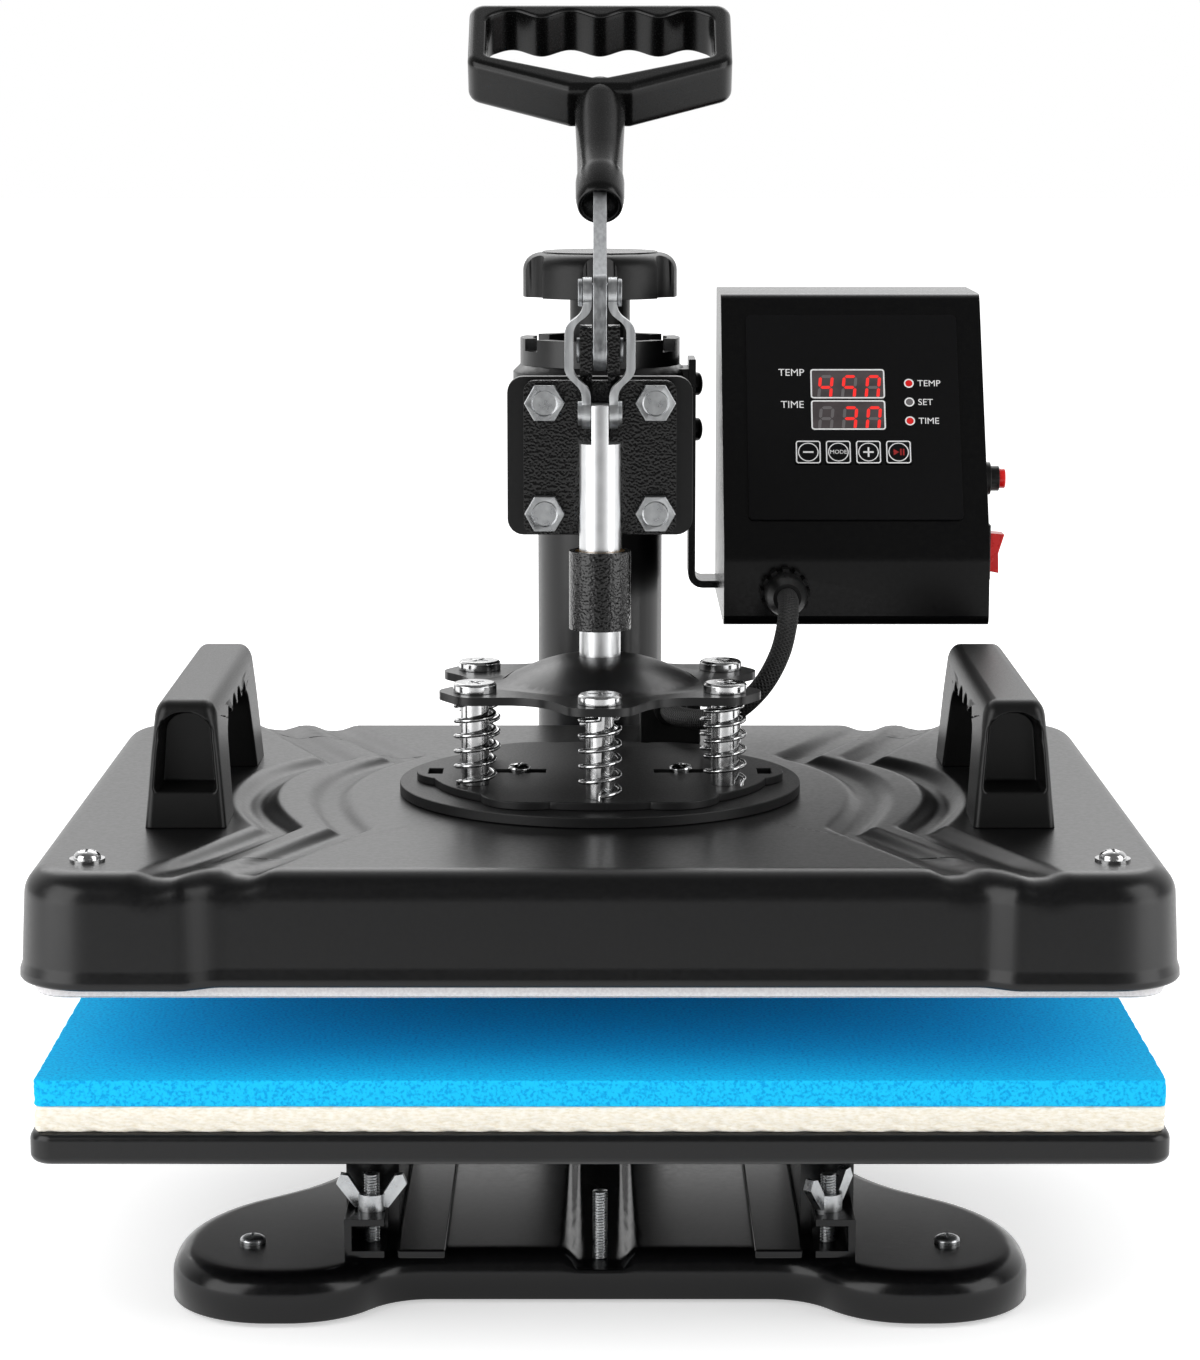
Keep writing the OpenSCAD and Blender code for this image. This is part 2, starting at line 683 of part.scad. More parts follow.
module ram() color("#cfd1d3") at_ram() difference() {
    union() {
        translate([0, 0, dome_top]) cylinder(r = ram_r, h = ram_top - dome_top);
        translate([0, 0, spider_top - 1]) cylinder(r = 4, h = dome_rise + 2);
        translate([0, 0, dome_top - spider_t - 5]) cylinder(r = 7, h = 5, $fn = 6);
    }
    for (s = [0, 1]) mirror([s, 0, 0]) translate([tongue_half, -20, tongue_z]) cube([40, 40, 60]);
}

module bolt_ring() for (i = [0:5]) rotate([0, 0, 60 * i - 90]) translate([spring_circle, 0, 0]) children();

spider_waist = 44;
spider_reach = spring_circle + 12;
dome_r = 37;
dome_flat = 10;
dome_curve = [for (i = [0:7]) let (s = i / 7)
    [dome_flat + s * (dome_r - dome_flat), dome_top - dome_rise * pow(s, 1.6)]];

// Six pads for the bolts, joined by hollow sides
spider_corners = [[spider_reach, -9, 9], [spider_reach, 9, 9], [spider_waist, 30, 20]];
spider_outline = rounded([for (i = [0:5], q = spider_corners)
    let (a = 60 * i - 90 + q[1])
    [q[0] * cos(a), q[0] * sin(a), q[2]]], 6);

module spider_plate() color("#1a1a1c") at_ram() difference() {
    union() {
        translate([0, 0, spider_z]) linear_extrude(spider_t) difference() {
            polygon(spider_outline);
            circle(r = dome_r - 1);
        }
        rotate_extrude() polygon(concat(
            [[4 + fit, dome_top - spider_t], [4 + fit, dome_top]], dome_curve,
            [for (i = [7:-1:0]) dome_curve[i] - [0, spider_t]]));
    }
    bolt_ring() translate([0, 0, spider_z - 1]) cylinder(r = bolt_r + gap, h = spider_t + 2);
    for (s = [-1, 1]) rotate([0, 0, 90 - s * 70]) translate([dome_r - 4, 0, spider_z])
        cube([1.6, 26, 2 * dome_rise], center = true);
}

// Platen

rise = (spring_h - 2 * wire_d) / spring_turns;
curl_steps = 8;
spring_path = concat(
    [[spring_r, 0, 0]],
    [for (i = [0:spring_turns * curl_steps])
        let (a = 360 * i / curl_steps)
        [spring_r * cos(a), spring_r * sin(a), wire_d + rise * i / curl_steps]],
    [[spring_r, 0, spring_h]]);
spring_gap = min([for (i = [0:len(spring_path) - 1], j = [i + curl_steps / 2:1:len(spring_path) - 1])
    norm(spring_path[i] - spring_path[j])]) - wire_d;
echo(spring_least_gap = spring_gap);

module press_springs() color("silver") at_ram() bolt_ring() translate([0, 0, seat_z])
    tube(spring_path, wire_d / 2, 6, [1, 0, 0]);

module spring_bolts() color("silver") at_ram() bolt_ring() difference() {
    union() {
        translate([0, 0, spider_top]) cheese_screw(bolt_head_r, 3.6, bolt_r, spider_top - seat_z);
        translate([0, 0, cover_top - cover_wall - 6])
            cylinder(r = 3, h = seat_z - cover_top + cover_wall + 7);
        translate([0, 0, cover_top - cover_wall - 4.5]) cylinder(r = 5.8, h = 4.5, $fn = 6);
    }
    translate([0, 0, spider_top]) cross_slot(8, 3.6);
}

module bolt_holes(z, h) bolt_ring() translate([0, 0, z]) cylinder(r = 3 + fit, h = h);

slot_x = 30;

module lobed_plate() color("#1c1c1e") at_ram() translate([0, 0, lobed_z]) difference() {
    linear_extrude(lobed_t) difference() {
        union() {
            circle(r = spring_circle + 10);
            for (i = [0:5]) rotate(60 * i) translate([lobed_r - 14, 0]) circle(r = 18);
        }
        for (s = [-1, 1]) {
            translate([s * (lobed_r - 3) - 2.6, -5.5]) square([5.2, 11]);
            translate([s * slot_x - 10, -3.4]) square([20, 6.8]);
        }
    }
    bolt_holes(-1, lobed_t + 2);
}

module swivel_disc() color("#161618") at_ram() translate([0, 0, disc_z]) difference() {
    cylinder(r = disc_r, h = disc_t);
    bolt_holes(-1, disc_t + 2);
    for (s = [-1, 1]) translate([s * slot_x, 0, -1]) cylinder(r = 2 + fit, h = disc_t + 2);
}

cover_outline = let (x = cover_half_w, y = cover_half_d, i = platen_w / 2 - 62, p = lobe_proud) rounded([
    [-x, -y, 26], [-i - 10, -y, 9], [-i, p - y, 9], [i, p - y, 9], [i + 10, -y, 9], [x, -y, 26],
    [x, y, 26], [i + 10, y, 9], [i, y - p, 9], [-i, y - p, 9], [-i - 10, y, 9], [-x, y, 26]], 5);

module platen_cover() color("#1f1f21") at_ram() difference() {
    pan(cover_outline, cover_z, cover_top, 10, 2, 0);
    translate([0, 0, -1]) pan(inset(cover_outline, cover_wall), cover_z, cover_top - cover_wall + 1, 9, 2, 0);
    bolt_holes(cover_top - 5, 10);
    screw_places() translate([0, 0, cover_top - 5]) cylinder(r = 2.5 + fit, h = 10);
    for (s = [-1, 1]) translate([s * slot_x, 0, cover_top - 5]) cylinder(r = 2 + fit, h = 10);
}

module screw_places() for (sx = [-1, 1], sy = [-1, 1])
    translate([sx * (platen_w / 2 - 17), sy * (platen_d / 2 - 22), 0]) children();

module cover_screws() color("silver") at_ram() {
    screw_places() translate([0, 0, cover_top]) difference() {
        union() {
            cylinder(r = 6, h = 1);
            pan_screw(4.6, 4, 2.5, cover_top - blanket_z + 6);
        }
        cross_slot(5.5, 4);
    }
    for (s = [-1, 1]) translate([s * slot_x, 0, seat_z]) difference() {
        pan_screw(4.2, 3, 2, seat_z - cover_top + cover_wall + 3);
        cross_slot(5, 3);
    }
}

grip_x = 146;
grip_w = 28.7;
grip_len = 148;
grip_h = 45;
grip_top = 21;

// Side view of a cover handle: a drafted arch with serrations under its top bar
module cover_grip_shape() difference() {
    polygon(rounded([[-grip_len / 2, 0, 1], [grip_len / 2, 0, 1], [grip_len / 2 - 4, grip_h, 9],
                     [4 - grip_len / 2, grip_h, 9]], 6));
    polygon(rounded([[-46, -20, 1], [46, -20, 1], [38, grip_h - 13, 10], [-38, grip_h - 13, 10]], 6));
    for (i = [-1.5:1:1.5]) translate([i * 17, grip_h - 15]) circle(r = 7);
}

// Front view of a cover handle, narrower at its top, and of the pocket in each of its legs
module cover_grip_front() polygon(rounded([
    [-grip_w / 2, 0, 0.5], [grip_w / 2, 0, 0.5],
    [grip_top / 2, grip_h, 6.5], [-grip_top / 2, grip_h, 6.5]], 6));

module cover_grip_pocket() polygon(rounded([
    [-10.8, 13, 1.5], [10.8, 13, 1.5], [8.6, grip_h - 3.5, 7.5], [-8.6, grip_h - 3.5, 7.5]], 6));

module cover_handles() color("#121212") at_ram() for (s = [-1, 1])
    translate([s * grip_x, 0, cover_top]) difference() {
    intersection() {
        across(grip_w) cover_grip_shape();
        rotate([90, 0, 0]) linear_extrude(grip_len + 2, center = true) cover_grip_front();
    }
    for (e = [-1, 1]) translate([0, e * grip_len / 2, 0]) rotate([90, 0, 0])
        linear_extrude(32, center = true) cover_grip_pocket();
}

module cable_inlet() color("#131313") at_ram() {
    translate([inlet_x - 12, inlet_y + 3, cover_top]) cube([24, 20, 23]);
    translate([inlet_x, inlet_y + 4, cable_z]) rotate([90, 0, 0]) cylinder(r = cable_r + 2.5, h = 4);
}

module insulation_blanket() color("#e6dfc9") at_ram() difference() {
    translate([0, 0, blanket_z]) linear_extrude(blanket_t) rounded_rect(plate_w - 12, plate_d - 10, 10);
    screw_places() translate([0, 0, blanket_z - 1]) cylinder(r = 2.5 + fit, h = blanket_t + 2);
}

module heating_plate() color("#c9c9c4") at_ram() difference() {
    translate([0, 0, plate_z]) linear_extrude(plate_t) rounded_rect(plate_w, plate_d, plate_corner);
    screw_places() translate([0, 0, blanket_z - 6.5]) cylinder(r = 2.5 + fit, h = 20);
}

module release_sheet() color("#f2f2f2") at_ram() difference() {
    translate([0, 0, sheet_z]) linear_extrude(8)
        rounded_rect(plate_w + 2 * sheet_t, plate_d + 2 * sheet_t, plate_corner + sheet_t);
    translate([0, 0, plate_z]) linear_extrude(20) rounded_rect(plate_w, plate_d, plate_corner);
}

// Control box

// Side view of the box in [y, z], moved inwards by t
module box_profile(t) polygon(rounded([
    [chin_y + t, box_z + t, 4], [box_back - t, box_z + t, 1], [box_back - t, box_top - t, 1],
    [slope_y + t * (1 - sin(panel_lean)) / cos(panel_lean), box_top - t, 6],
    [chin_y + t, step_z - t * tan(panel_lean / 2), 18]], 6));

// Places what is drawn on the sloped panel: x across, y up the slope from the step, z outwards
module on_panel() at_ram() translate([0, chin_y, step_z]) rotate([90 - panel_lean, 0, 0]) children();

key_pitch = 12;
key_y = 42;
key_size = 10;
window_w = 29;
window_h = 12.2;
windows_y = [58.4, 72.2];
window_x = box_mid - 2.1;
lamp_x = box_mid + 22.5;
lamps_y = [55.8, 64.1, 72.4];
overlay_w = 85;
overlay_y = 13;
overlay_h = (box_h - chin_h) / cos(panel_lean) - 23;
keys_x = [for (i = [0:3]) box_mid - 0.5 + (i - 1.5) * key_pitch];

module box_front() color("#1a1a1c") difference() {
    at_ram() translate([box_mid, 0, 0]) across(box_w) box_profile(0);
    at_ram() translate([box_mid, 0, 0]) across(box_w - 2 * box_wall) union() {
        box_profile(box_wall);
        translate([box_back - 20, box_z + box_wall]) square([30, box_h - 2 * box_wall]);
    }
    on_panel() for (x = keys_x) translate([x, key_y, -10]) cylinder(r = 2.3, h = 12);
    at_ram() {
        translate([gland_x, chin_y + 10, gland_z]) rotate([90, 0, 0]) cylinder(r = 6 + fit, h = 20);
        translate([box_side - 5, switch_y - 6, rocker_z - 9.5]) cube([10, 12, 19]);
        translate([box_side - 5, switch_y, button_z]) rotate([0, 90, 0]) cylinder(r = 5 + fit, h = 10);
        translate([box_x - 5, column_back, bracket_z + 12]) rotate([0, 90, 0]) cylinder(r = 2, h = 10);
        translate([box_x - 5, column_back - bracket_w / 2 - fit, bracket_z - fit])
            cube([10, bracket_w + 2 * fit, bracket_t + 2 * fit]);
    }
}

inlet_cx = box_mid + 18;
inlet_cz = box_z + 34;

module box_rear() color("#1d1d1f") at_ram() difference() {
    translate([box_x + box_wall, box_back - box_wall, box_z + box_wall])
        cube([box_w - 2 * box_wall, box_wall, box_h - 2 * box_wall]);
    translate([inlet_cx - 12, box_back - 10, inlet_cz - 8]) cube([24, 20, 16]);
    for (i = [0:5]) translate([box_mid - 24, box_back - 10, box_top - 34 + 4 * i]) cube([48, 20, 1.6]);
}

module control_panel() color("#0c0c0d") on_panel() difference() {
    translate([box_mid, overlay_y + overlay_h / 2, 0]) linear_extrude(overlay_t)
        rounded_rect(overlay_w, overlay_h, 2);
    for (y = windows_y) translate([window_x - window_w / 2, y - window_h / 2, -1])
        cube([window_w, window_h, 4]);
    for (y = lamps_y) translate([lamp_x, y, -1]) cylinder(r = 1.6, h = 4);
    for (x = keys_x) translate([x, key_y, 1])
        cube([key_size + 2 * gap, key_size + 2 * gap, 4], center = true);
}

module display_windows() color("#5a5a5c") on_panel() for (y = windows_y)
    translate([window_x - window_w / 2, y - window_h / 2, 0]) cube([window_w, window_h, overlay_t + 0.3]);

module indicator_lamps() color("#e01818") on_panel() for (y = lamps_y)
    translate([lamp_x, y, 0]) cylinder(r = 1.6, h = overlay_t + 0.3);

module key(i) on_panel() translate([keys_x[i], key_y, 0]) {
    translate([-key_size / 2, -key_size / 2, 0.7]) cube([key_size, key_size, 0.9]);
    translate([0, 0, -board_gap + 0.7]) cylinder(r = 2, h = board_gap + 0.2);
}

module minus_key() color("#111111") key(0);
module mode_key() color("#111111") key(1);
module plus_key() color("#111111") key(2);
module start_key() color("#8a1010") key(3);

module circuit_board() color("#1d5b34") on_panel() {
    translate([box_mid - 40, 15, -board_gap - 1.6]) cube([80, 76, 1.6]);
    for (sx = [-1, 1], y = [20, 86]) translate([box_mid + sx * 34, y, -board_gap])
        cylinder(r = 2.5, h = board_gap - box_wall);
}

module switch_housings() color("#111111") at_ram() {
    difference() {
        union() {
            translate([box_side, switch_y - 7.5, rocker_z - 11]) cube([2.2, 15, 22]);
            translate([box_side - 16, switch_y - 6, rocker_z - 9.5]) cube([16.5, 12, 19]);
        }
        translate([box_side - 9, switch_y - 5, rocker_z - 8.5]) cube([20, 10, 17]);
    }
    translate([rocker_x, switch_y, rocker_z]) rotate([90, 0, 0])
        cylinder(r = 1.2 - fit, h = 11, center = true);
    translate([box_side, switch_y, button_z]) rotate([0, 90, 0]) difference() {
        union() {
            cylinder(r = 6.5, h = 2.2);
            translate([0, 0, -12]) cylinder(r = 5, h = 17.7);
        }
        translate([0, 0, -9]) cylinder(r = 4, h = 20);
    }
}

// The rocker rests tilted to one side
module power_rocker() color("#d81e1e") at_ram() translate([rocker_x, switch_y, rocker_z])
    rotate([0, rocker_tilt, 0]) difference() {
    rotate([90, 0, 0]) linear_extrude(9.4, center = true)
        polygon([[-4.5, -2], [1, -7.6], [6.5, -7.9], [5.2, 0], [6.5, 7.9], [1, 7.6], [-4.5, 2]]);
    rotate([90, 0, 0]) cylinder(r = 1.2, h = 20, center = true);
}

module reset_button() color("#d81e1e") at_ram() translate([box_side - 6, switch_y, button_z])
    rotate([0, 90, 0]) cylinder(r = 4 - fit, h = 14.2);

module power_inlet() color("#101010") at_ram() difference() {
    union() {
        translate([inlet_cx - 14, box_back, inlet_cz - 11]) cube([28, 2, 22]);
        translate([inlet_cx - 12, box_back - 22, inlet_cz - 8]) cube([24, 23, 16]);
    }
    difference() {
        translate([inlet_cx - 10.5, box_back - 17, inlet_cz - 6.5]) cube([21, 30, 13]);
        for (i = [-1:1]) translate([inlet_cx + i * 7 - 1, box_back - 18, inlet_cz - 2 + (i == 0 ? 2 : -1)])
            cube([2, 14, 4]);
    }
}

module cable_gland() color("#101010") at_ram() translate([gland_x, chin_y, gland_z]) rotate([90, 0, 0]) {
    cylinder(r = 8.4, h = 7);
    for (i = [0:11]) rotate([0, 0, 30 * i]) translate([8, -1.3, 0]) cube([1.7, 2.6, 8.5]);
    translate([0, 0, -box_wall - 8]) cylinder(r = 6, h = box_wall + 9);
    rotate_extrude() polygon([[0, 6], [8.4, 6], [8.4, 13], [7.6, 17], [5.5, 21], [0, 21]]);
    translate([0, 0, -box_wall - 4]) cylinder(r = 9, h = 4, $fn = 6);
}

module heater_cable() color("#171717") at_ram() tube(cable_route, cable_r, 10, [1, 0, 0]);

// The bracket hangs on the collar, turns under a round bend and stands up again inside the box's wall
bracket_end = box_x + box_wall + bracket_t;

module box_bracket() color("#161618") at_ram() translate([0, column_back, 0]) difference() {
    rotate([90, 0, 0]) linear_extrude(bracket_w, center = true) polygon(rounded([
        [bracket_x, bracket_z, 6], [bracket_end, bracket_z, 1.5], [bracket_end, bracket_z + 24, 0.5],
        [bracket_end - bracket_t, bracket_z + 24, 0.5], [bracket_end - bracket_t, bracket_z + bracket_t, 0.5],
        [bracket_x + bracket_t, bracket_z + bracket_t, 3], [bracket_x + bracket_t, collar_z + 58, 0.5],
        [bracket_x, collar_z + 58, 0.5]], 5));
    for (z = bracket_bolts_z) translate([bracket_x - 1, 0, z]) rotate([0, 90, 0])
        cylinder(r = 2.5 + fit, h = 6);
    translate([box_x, 0, bracket_z + 12]) rotate([0, 90, 0]) cylinder(r = 2, h = 8);
}

module bracket_bolts() color("#111111") at_ram() {
    for (z = bracket_bolts_z) translate([bracket_x + bracket_t, column_back, z]) rotate([0, 90, 0])
        pan_screw(4.8, 3.2, 2.5, bracket_t + 5);
    translate([bracket_end, column_back, bracket_z + 12]) rotate([0, 90, 0])
        pan_screw(4, 2.4, 2, bracket_t + box_wall);
}

base_shell();
rubber_feet();
foot_screws();
deck_rails();
threaded_studs();
column();
column_nut();
tray_legs();
lower_tray();
felt_pad();
foam_pad();
wing_nut_left();
wing_nut_right();
lift_bush();
pressure_knob();
knob_cap();
pressure_screw();
swing_collar();
collar_ring();
arm_beam();
head_plate();
head_casting();
head_bolts();
ram_bush();
fulcrum_pin();
box_bracket();
bracket_bolts();
box_front();
box_rear();
control_panel();
display_windows();
indicator_lamps();
circuit_board();
switch_housings();
power_inlet();
cable_gland();
heater_cable();
minus_key();
mode_key();
plus_key();
start_key();
power_rocker();
reset_button();
lever_bar();
lever_handle();
lever_pin();
link_straps();
ram();
spider_plate();
press_springs();
spring_bolts();
lobed_plate();
swivel_disc();
platen_cover();
cover_screws();
cover_handles();
cable_inlet();
insulation_blanket();
heating_plate();
release_sheet();
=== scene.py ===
"""Looks of the swing-away heat press: camera, light, materials, and the pieces finer than their solids."""
import json
import math

import bmesh
import bpy
import numpy as np
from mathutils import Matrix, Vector


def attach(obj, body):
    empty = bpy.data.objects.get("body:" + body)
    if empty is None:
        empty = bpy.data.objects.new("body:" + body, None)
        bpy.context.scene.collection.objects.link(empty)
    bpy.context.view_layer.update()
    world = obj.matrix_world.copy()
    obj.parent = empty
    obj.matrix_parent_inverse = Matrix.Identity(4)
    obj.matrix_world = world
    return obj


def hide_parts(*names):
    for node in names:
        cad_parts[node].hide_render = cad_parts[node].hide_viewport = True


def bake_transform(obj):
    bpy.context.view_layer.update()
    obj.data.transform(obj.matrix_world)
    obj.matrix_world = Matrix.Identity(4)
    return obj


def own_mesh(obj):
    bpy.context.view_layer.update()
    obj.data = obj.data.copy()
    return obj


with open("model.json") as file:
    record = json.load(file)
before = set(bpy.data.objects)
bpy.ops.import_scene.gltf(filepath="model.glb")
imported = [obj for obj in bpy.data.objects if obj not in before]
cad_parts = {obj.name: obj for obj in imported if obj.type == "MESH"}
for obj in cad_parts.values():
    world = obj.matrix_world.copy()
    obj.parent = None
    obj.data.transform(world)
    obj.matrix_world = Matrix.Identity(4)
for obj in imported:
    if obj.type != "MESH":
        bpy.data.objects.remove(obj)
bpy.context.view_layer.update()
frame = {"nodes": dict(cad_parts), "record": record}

MM = 0.001
# The ram's axis in the row frame; pieces below are laid out in millimetres from it
RAM_Y = -44.5
BODY_OF = {node: body for body, nodes in frame["record"]["behaviour"]["bodies"].items() for node in nodes}


def press(points):
    """Millimetres from the ram's axis to metres in the row frame."""
    return (np.asarray(points, float) + [0.0, RAM_Y, 0.0]) * MM


def linear(hex_colour):
    """An sRGB hex colour as linear RGBA."""
    srgb = np.array([int(hex_colour[i:i + 2], 16) for i in (1, 3, 5)]) / 255
    channel = np.where(srgb <= 0.04045, srgb / 12.92, ((srgb + 0.055) / 1.055) ** 2.4)
    return (*channel.tolist(), 1.0)


def add(tree, kind, inputs=None, **settings):
    """Adds one node with its settings; inputs maps a socket to a value or to an output that feeds it."""
    node = tree.nodes.new(kind)
    for key, value in settings.items():
        setattr(node, key, value)
    for key, value in (inputs or {}).items():
        if isinstance(value, bpy.types.NodeSocket):
            tree.links.new(value, node.inputs[key])
        else:
            node.inputs[key].default_value = value
    return node


def new_object(name, data):
    """An object in the scene that shows the data."""
    obj = bpy.data.objects.new(name, data)
    bpy.context.collection.objects.link(obj)
    return obj


def combine(tree, operation, first, second):
    """The sum, product or other operation of two values or outputs."""
    return add(tree, "ShaderNodeMath", {0: first, 1: second}, operation=operation).outputs[0]


def ease(tree, value, start, end, low, high):
    """Goes smoothly from low to high while the value goes from start to end."""
    ends = {"From Min": start, "From Max": end, "To Min": low, "To Max": high}
    return add(tree, "ShaderNodeMapRange", {"Value": value, **ends},
               interpolation_type="SMOOTHSTEP").outputs["Result"]


# Camera at the photograph's place: straight on, a little above, looking down nine degrees
CAMERA_PLACE = (0.0, -1326.0, 422.8)
CAMERA_PITCH = 9.13
CAMERA_LENS = 95.96
SENSOR_W = 36.0
camera_data = bpy.data.cameras.new("camera")
camera_data.lens = CAMERA_LENS
camera_data.sensor_width = SENSOR_W
camera = new_object("camera", camera_data)
camera.location = press(CAMERA_PLACE)
camera.rotation_euler = (math.radians(90.0 - CAMERA_PITCH), 0.0, 0.0)
bpy.context.scene.camera = camera
bpy.context.scene.view_settings.view_transform = "Standard"


# Mesh building

# Points of a grid closer than this are one point, and so are the corners of a solid's loose triangles
GRID_WELD = 1e-7
SOLID_WELD = 2e-6
# Triangles of a solid that lie this flat, in degrees, become one face
FLAT_ANGLE = 0.6
# Edges sharper than this, in degrees, are rounded
EDGE_ANGLE = 32.0


def grid_faces(rows, columns, wrap):
    """Quads between neighbouring rows of a grid; wrap joins the last column to the first."""
    index = np.arange(rows * columns).reshape(rows, columns)
    index = np.hstack([index, index[:, :1]]) if wrap else index
    return np.stack([index[:-1, :-1], index[:-1, 1:], index[1:, 1:], index[1:, :-1]], axis=-1).reshape(-1, 4)


def grid_mesh(name, grids, wrap=True, along=None):
    """One smooth mesh from point grids in metres; doubled points at poles are merged.

    Each quad is split along its more level diagonal, so that a fold which slants across the grid stays clean.
    With along, the length of each row in metres, the mesh gets a UV map: round the piece and along it.
    """
    points = np.vstack([g.reshape(-1, 3) for g in grids])
    offsets = np.cumsum([0] + [g.shape[0] * g.shape[1] for g in grids[:-1]])
    faces = np.vstack([grid_faces(g.shape[0], g.shape[1], wrap) + o for g, o in zip(grids, offsets)])
    if along is None:
        height = points[faces][..., 2]
        turned = np.abs(height[:, 1] - height[:, 3]) < np.abs(height[:, 0] - height[:, 2])
        faces[turned] = np.roll(faces[turned], 1, axis=1)
    mesh = bpy.data.meshes.new(name)
    mesh.from_pydata(points, [], faces)
    if along is not None:
        rows, columns = grids[0].shape[:2]
        i, j = np.divmod(np.arange((rows - 1) * columns), columns)
        u = np.stack([j, j + 1, j + 1, j], axis=-1) / columns
        v = np.asarray(along)[np.stack([i, i, i + 1, i + 1], axis=-1)]
        mesh.uv_layers.new(name="sleeve").data.foreach_set("uv", np.stack([u, v], axis=-1).ravel())
    work = bmesh.new()
    work.from_mesh(mesh)
    bmesh.ops.remove_doubles(work, verts=work.verts, dist=GRID_WELD)
    bmesh.ops.recalc_face_normals(work, faces=work.faces)
    work.to_mesh(mesh)
    work.free()
    mesh.shade_smooth()
    return mesh


def place(mesh, material, body, *nodes):
    """The mesh as an object that rides on a body, if one is named, and stands for the named solids."""
    obj = new_object(mesh.name, mesh)
    mesh.materials.clear()
    mesh.materials.append(material)
    if body:
        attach(obj, body)
    if nodes:
        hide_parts(*nodes)
    return obj


def dressed(node, material, width_mm, segments, angle=EDGE_ANGLE):
    """A copy of a solid that stands for it, its triangles merged into faces and its sharp edges rounded."""
    mesh = frame["nodes"][node].data.copy()
    mesh.name = node + "_finish"
    work = bmesh.new()
    work.from_mesh(mesh)
    bmesh.ops.remove_doubles(work, verts=work.verts, dist=SOLID_WELD)
    bmesh.ops.dissolve_limit(work, angle_limit=math.radians(FLAT_ANGLE), verts=work.verts, edges=work.edges)
    work.to_mesh(mesh)
    work.free()
    mesh.shade_smooth()
    mesh.set_sharp_from_angle(angle=math.radians(angle))
    bevel = place(mesh, material, BODY_OF[node], node).modifiers.new("rounded_edges", "BEVEL")
    bevel.width = width_mm * MM
    bevel.segments = segments
    bevel.limit_method = "ANGLE"
    bevel.angle_limit = math.radians(angle)
    bevel.harden_normals = True


def unit(vectors):
    """The vectors at a length of one."""
    return vectors / np.linalg.norm(vectors, axis=-1, keepdims=True)


def corner_arcs(corners, steps):
    """Arcs (corner, step, 2) that round the corners (x, y, radius) of a closed outline."""
    corner = np.asarray(corners, float)
    place_at = corner[:, :2]
    before = unit(np.roll(place_at, 1, axis=0) - place_at)
    after = unit(np.roll(place_at, -1, axis=0) - place_at)
    half = np.arccos(np.clip((before * after).sum(axis=1), -1, 1)) / 2
    centre = place_at + unit(before + after) * (corner[:, 2] / np.sin(half))[:, None]
    start = place_at + before * (corner[:, 2] / np.tan(half))[:, None] - centre
    side = np.where(before[:, 0] * after[:, 1] - before[:, 1] * after[:, 0] < 0, 1, -1)
    angle = np.arctan2(start[:, 1], start[:, 0])
    turn = np.linspace(0, 1, steps)[None, :] * (side * (np.pi - 2 * half))[:, None] + angle[:, None]
    return centre[:, None, :] + corner[:, 2][:, None, None] * np.stack([np.cos(turn), np.sin(turn)], axis=-1)


def rounded_outline(corners, count):
    """Even points round a closed outline of corners (x, y, radius)."""
    loop = corner_arcs(corners, 24).reshape(-1, 2)
    loop = np.vstack([loop, loop[:1]])
    length = np.concatenate([[0], np.cumsum(np.linalg.norm(np.diff(loop, axis=0), axis=1))])
    even = np.linspace(0, length[-1], count, endpoint=False)
    return np.stack([np.interp(even, length, loop[:, k]) for k in (0, 1)], axis=-1)


def rounded_box(w, d, corner, count):
    """Even points round a rectangle with round corners; w and d are half its sides."""
    return rounded_outline([(-w, -d, corner), (w, -d, corner), (w, d, corner), (-w, d, corner)], count)


def matched_outline(corners, steps, runs):
    """Arcs of so many steps joined by straight runs of so many points, so that two outlines can be paired."""
    arcs = corner_arcs(corners, steps)
    following = np.roll(arcs[:, 0], -1, axis=0)
    pieces = []
    for arc, after, run in zip(arcs, following, runs):
        share = np.linspace(0, 1, run + 2)[1:-1, None]
        pieces += [arc, arc[-1] + share * (after - arc[-1])]
    return np.vstack(pieces)


def inset(outline, distance):
    """The outline moved inwards along its own normals."""
    tangent = unit(np.roll(outline, -1, axis=0) - np.roll(outline, 1, axis=0))
    return outline + distance * np.stack([-tangent[:, 1], tangent[:, 0]], axis=-1)


def bar_sections(outer, inner, half, outer_round, inner_round, counts):
    """Sections of a moulded bar between two paired outlines: places in their plane, and heights out of it.

    Each section is a rectangle whose edges are rounded by moving the outlines into the bar along their
    normals while the height rises to half; counts gives the points across its outer, side and inner faces.
    """
    turn = np.linspace(0, np.pi / 2, 7)

    def face(outline, side, radius, count):
        size = np.broadcast_to(np.asarray(radius, float), (len(outline),))[:, None]
        flat = np.linspace(-1, 1, count)[None, 1:-1] * (half - size)
        offset = np.hstack([size * (1 - np.cos(turn[::-1])), 0 * flat, size * (1 - np.cos(turn))])
        height = np.hstack([size - half - size * np.sin(turn[::-1]), flat, half - size + size * np.sin(turn)])
        normal = side * (inset(outline, 1.0) - outline)
        return outline[:, None, :] + offset[..., None] * normal[:, None, :], height

    outer_points, outer_height = face(outer, 1, outer_round, counts[0])
    inner_points, inner_height = face(inner, -1, inner_round, counts[2])
    share = np.linspace(0, 1, counts[1])[None, 1:-1, None]
    upper = outer_points[:, -1:] + share * (inner_points[:, -1:] - outer_points[:, -1:])
    lower = inner_points[:, :1] + share * (outer_points[:, :1] - inner_points[:, :1])
    level = np.full(upper.shape[:2], half)
    return (np.concatenate([outer_points, upper, inner_points[:, ::-1], lower], axis=1),
            np.concatenate([outer_height, level, inner_height[:, ::-1], -level], axis=1))


def ring(outline, z):
    """An outline in millimetres at one height."""
    return np.column_stack([outline, np.full(len(outline), z)])


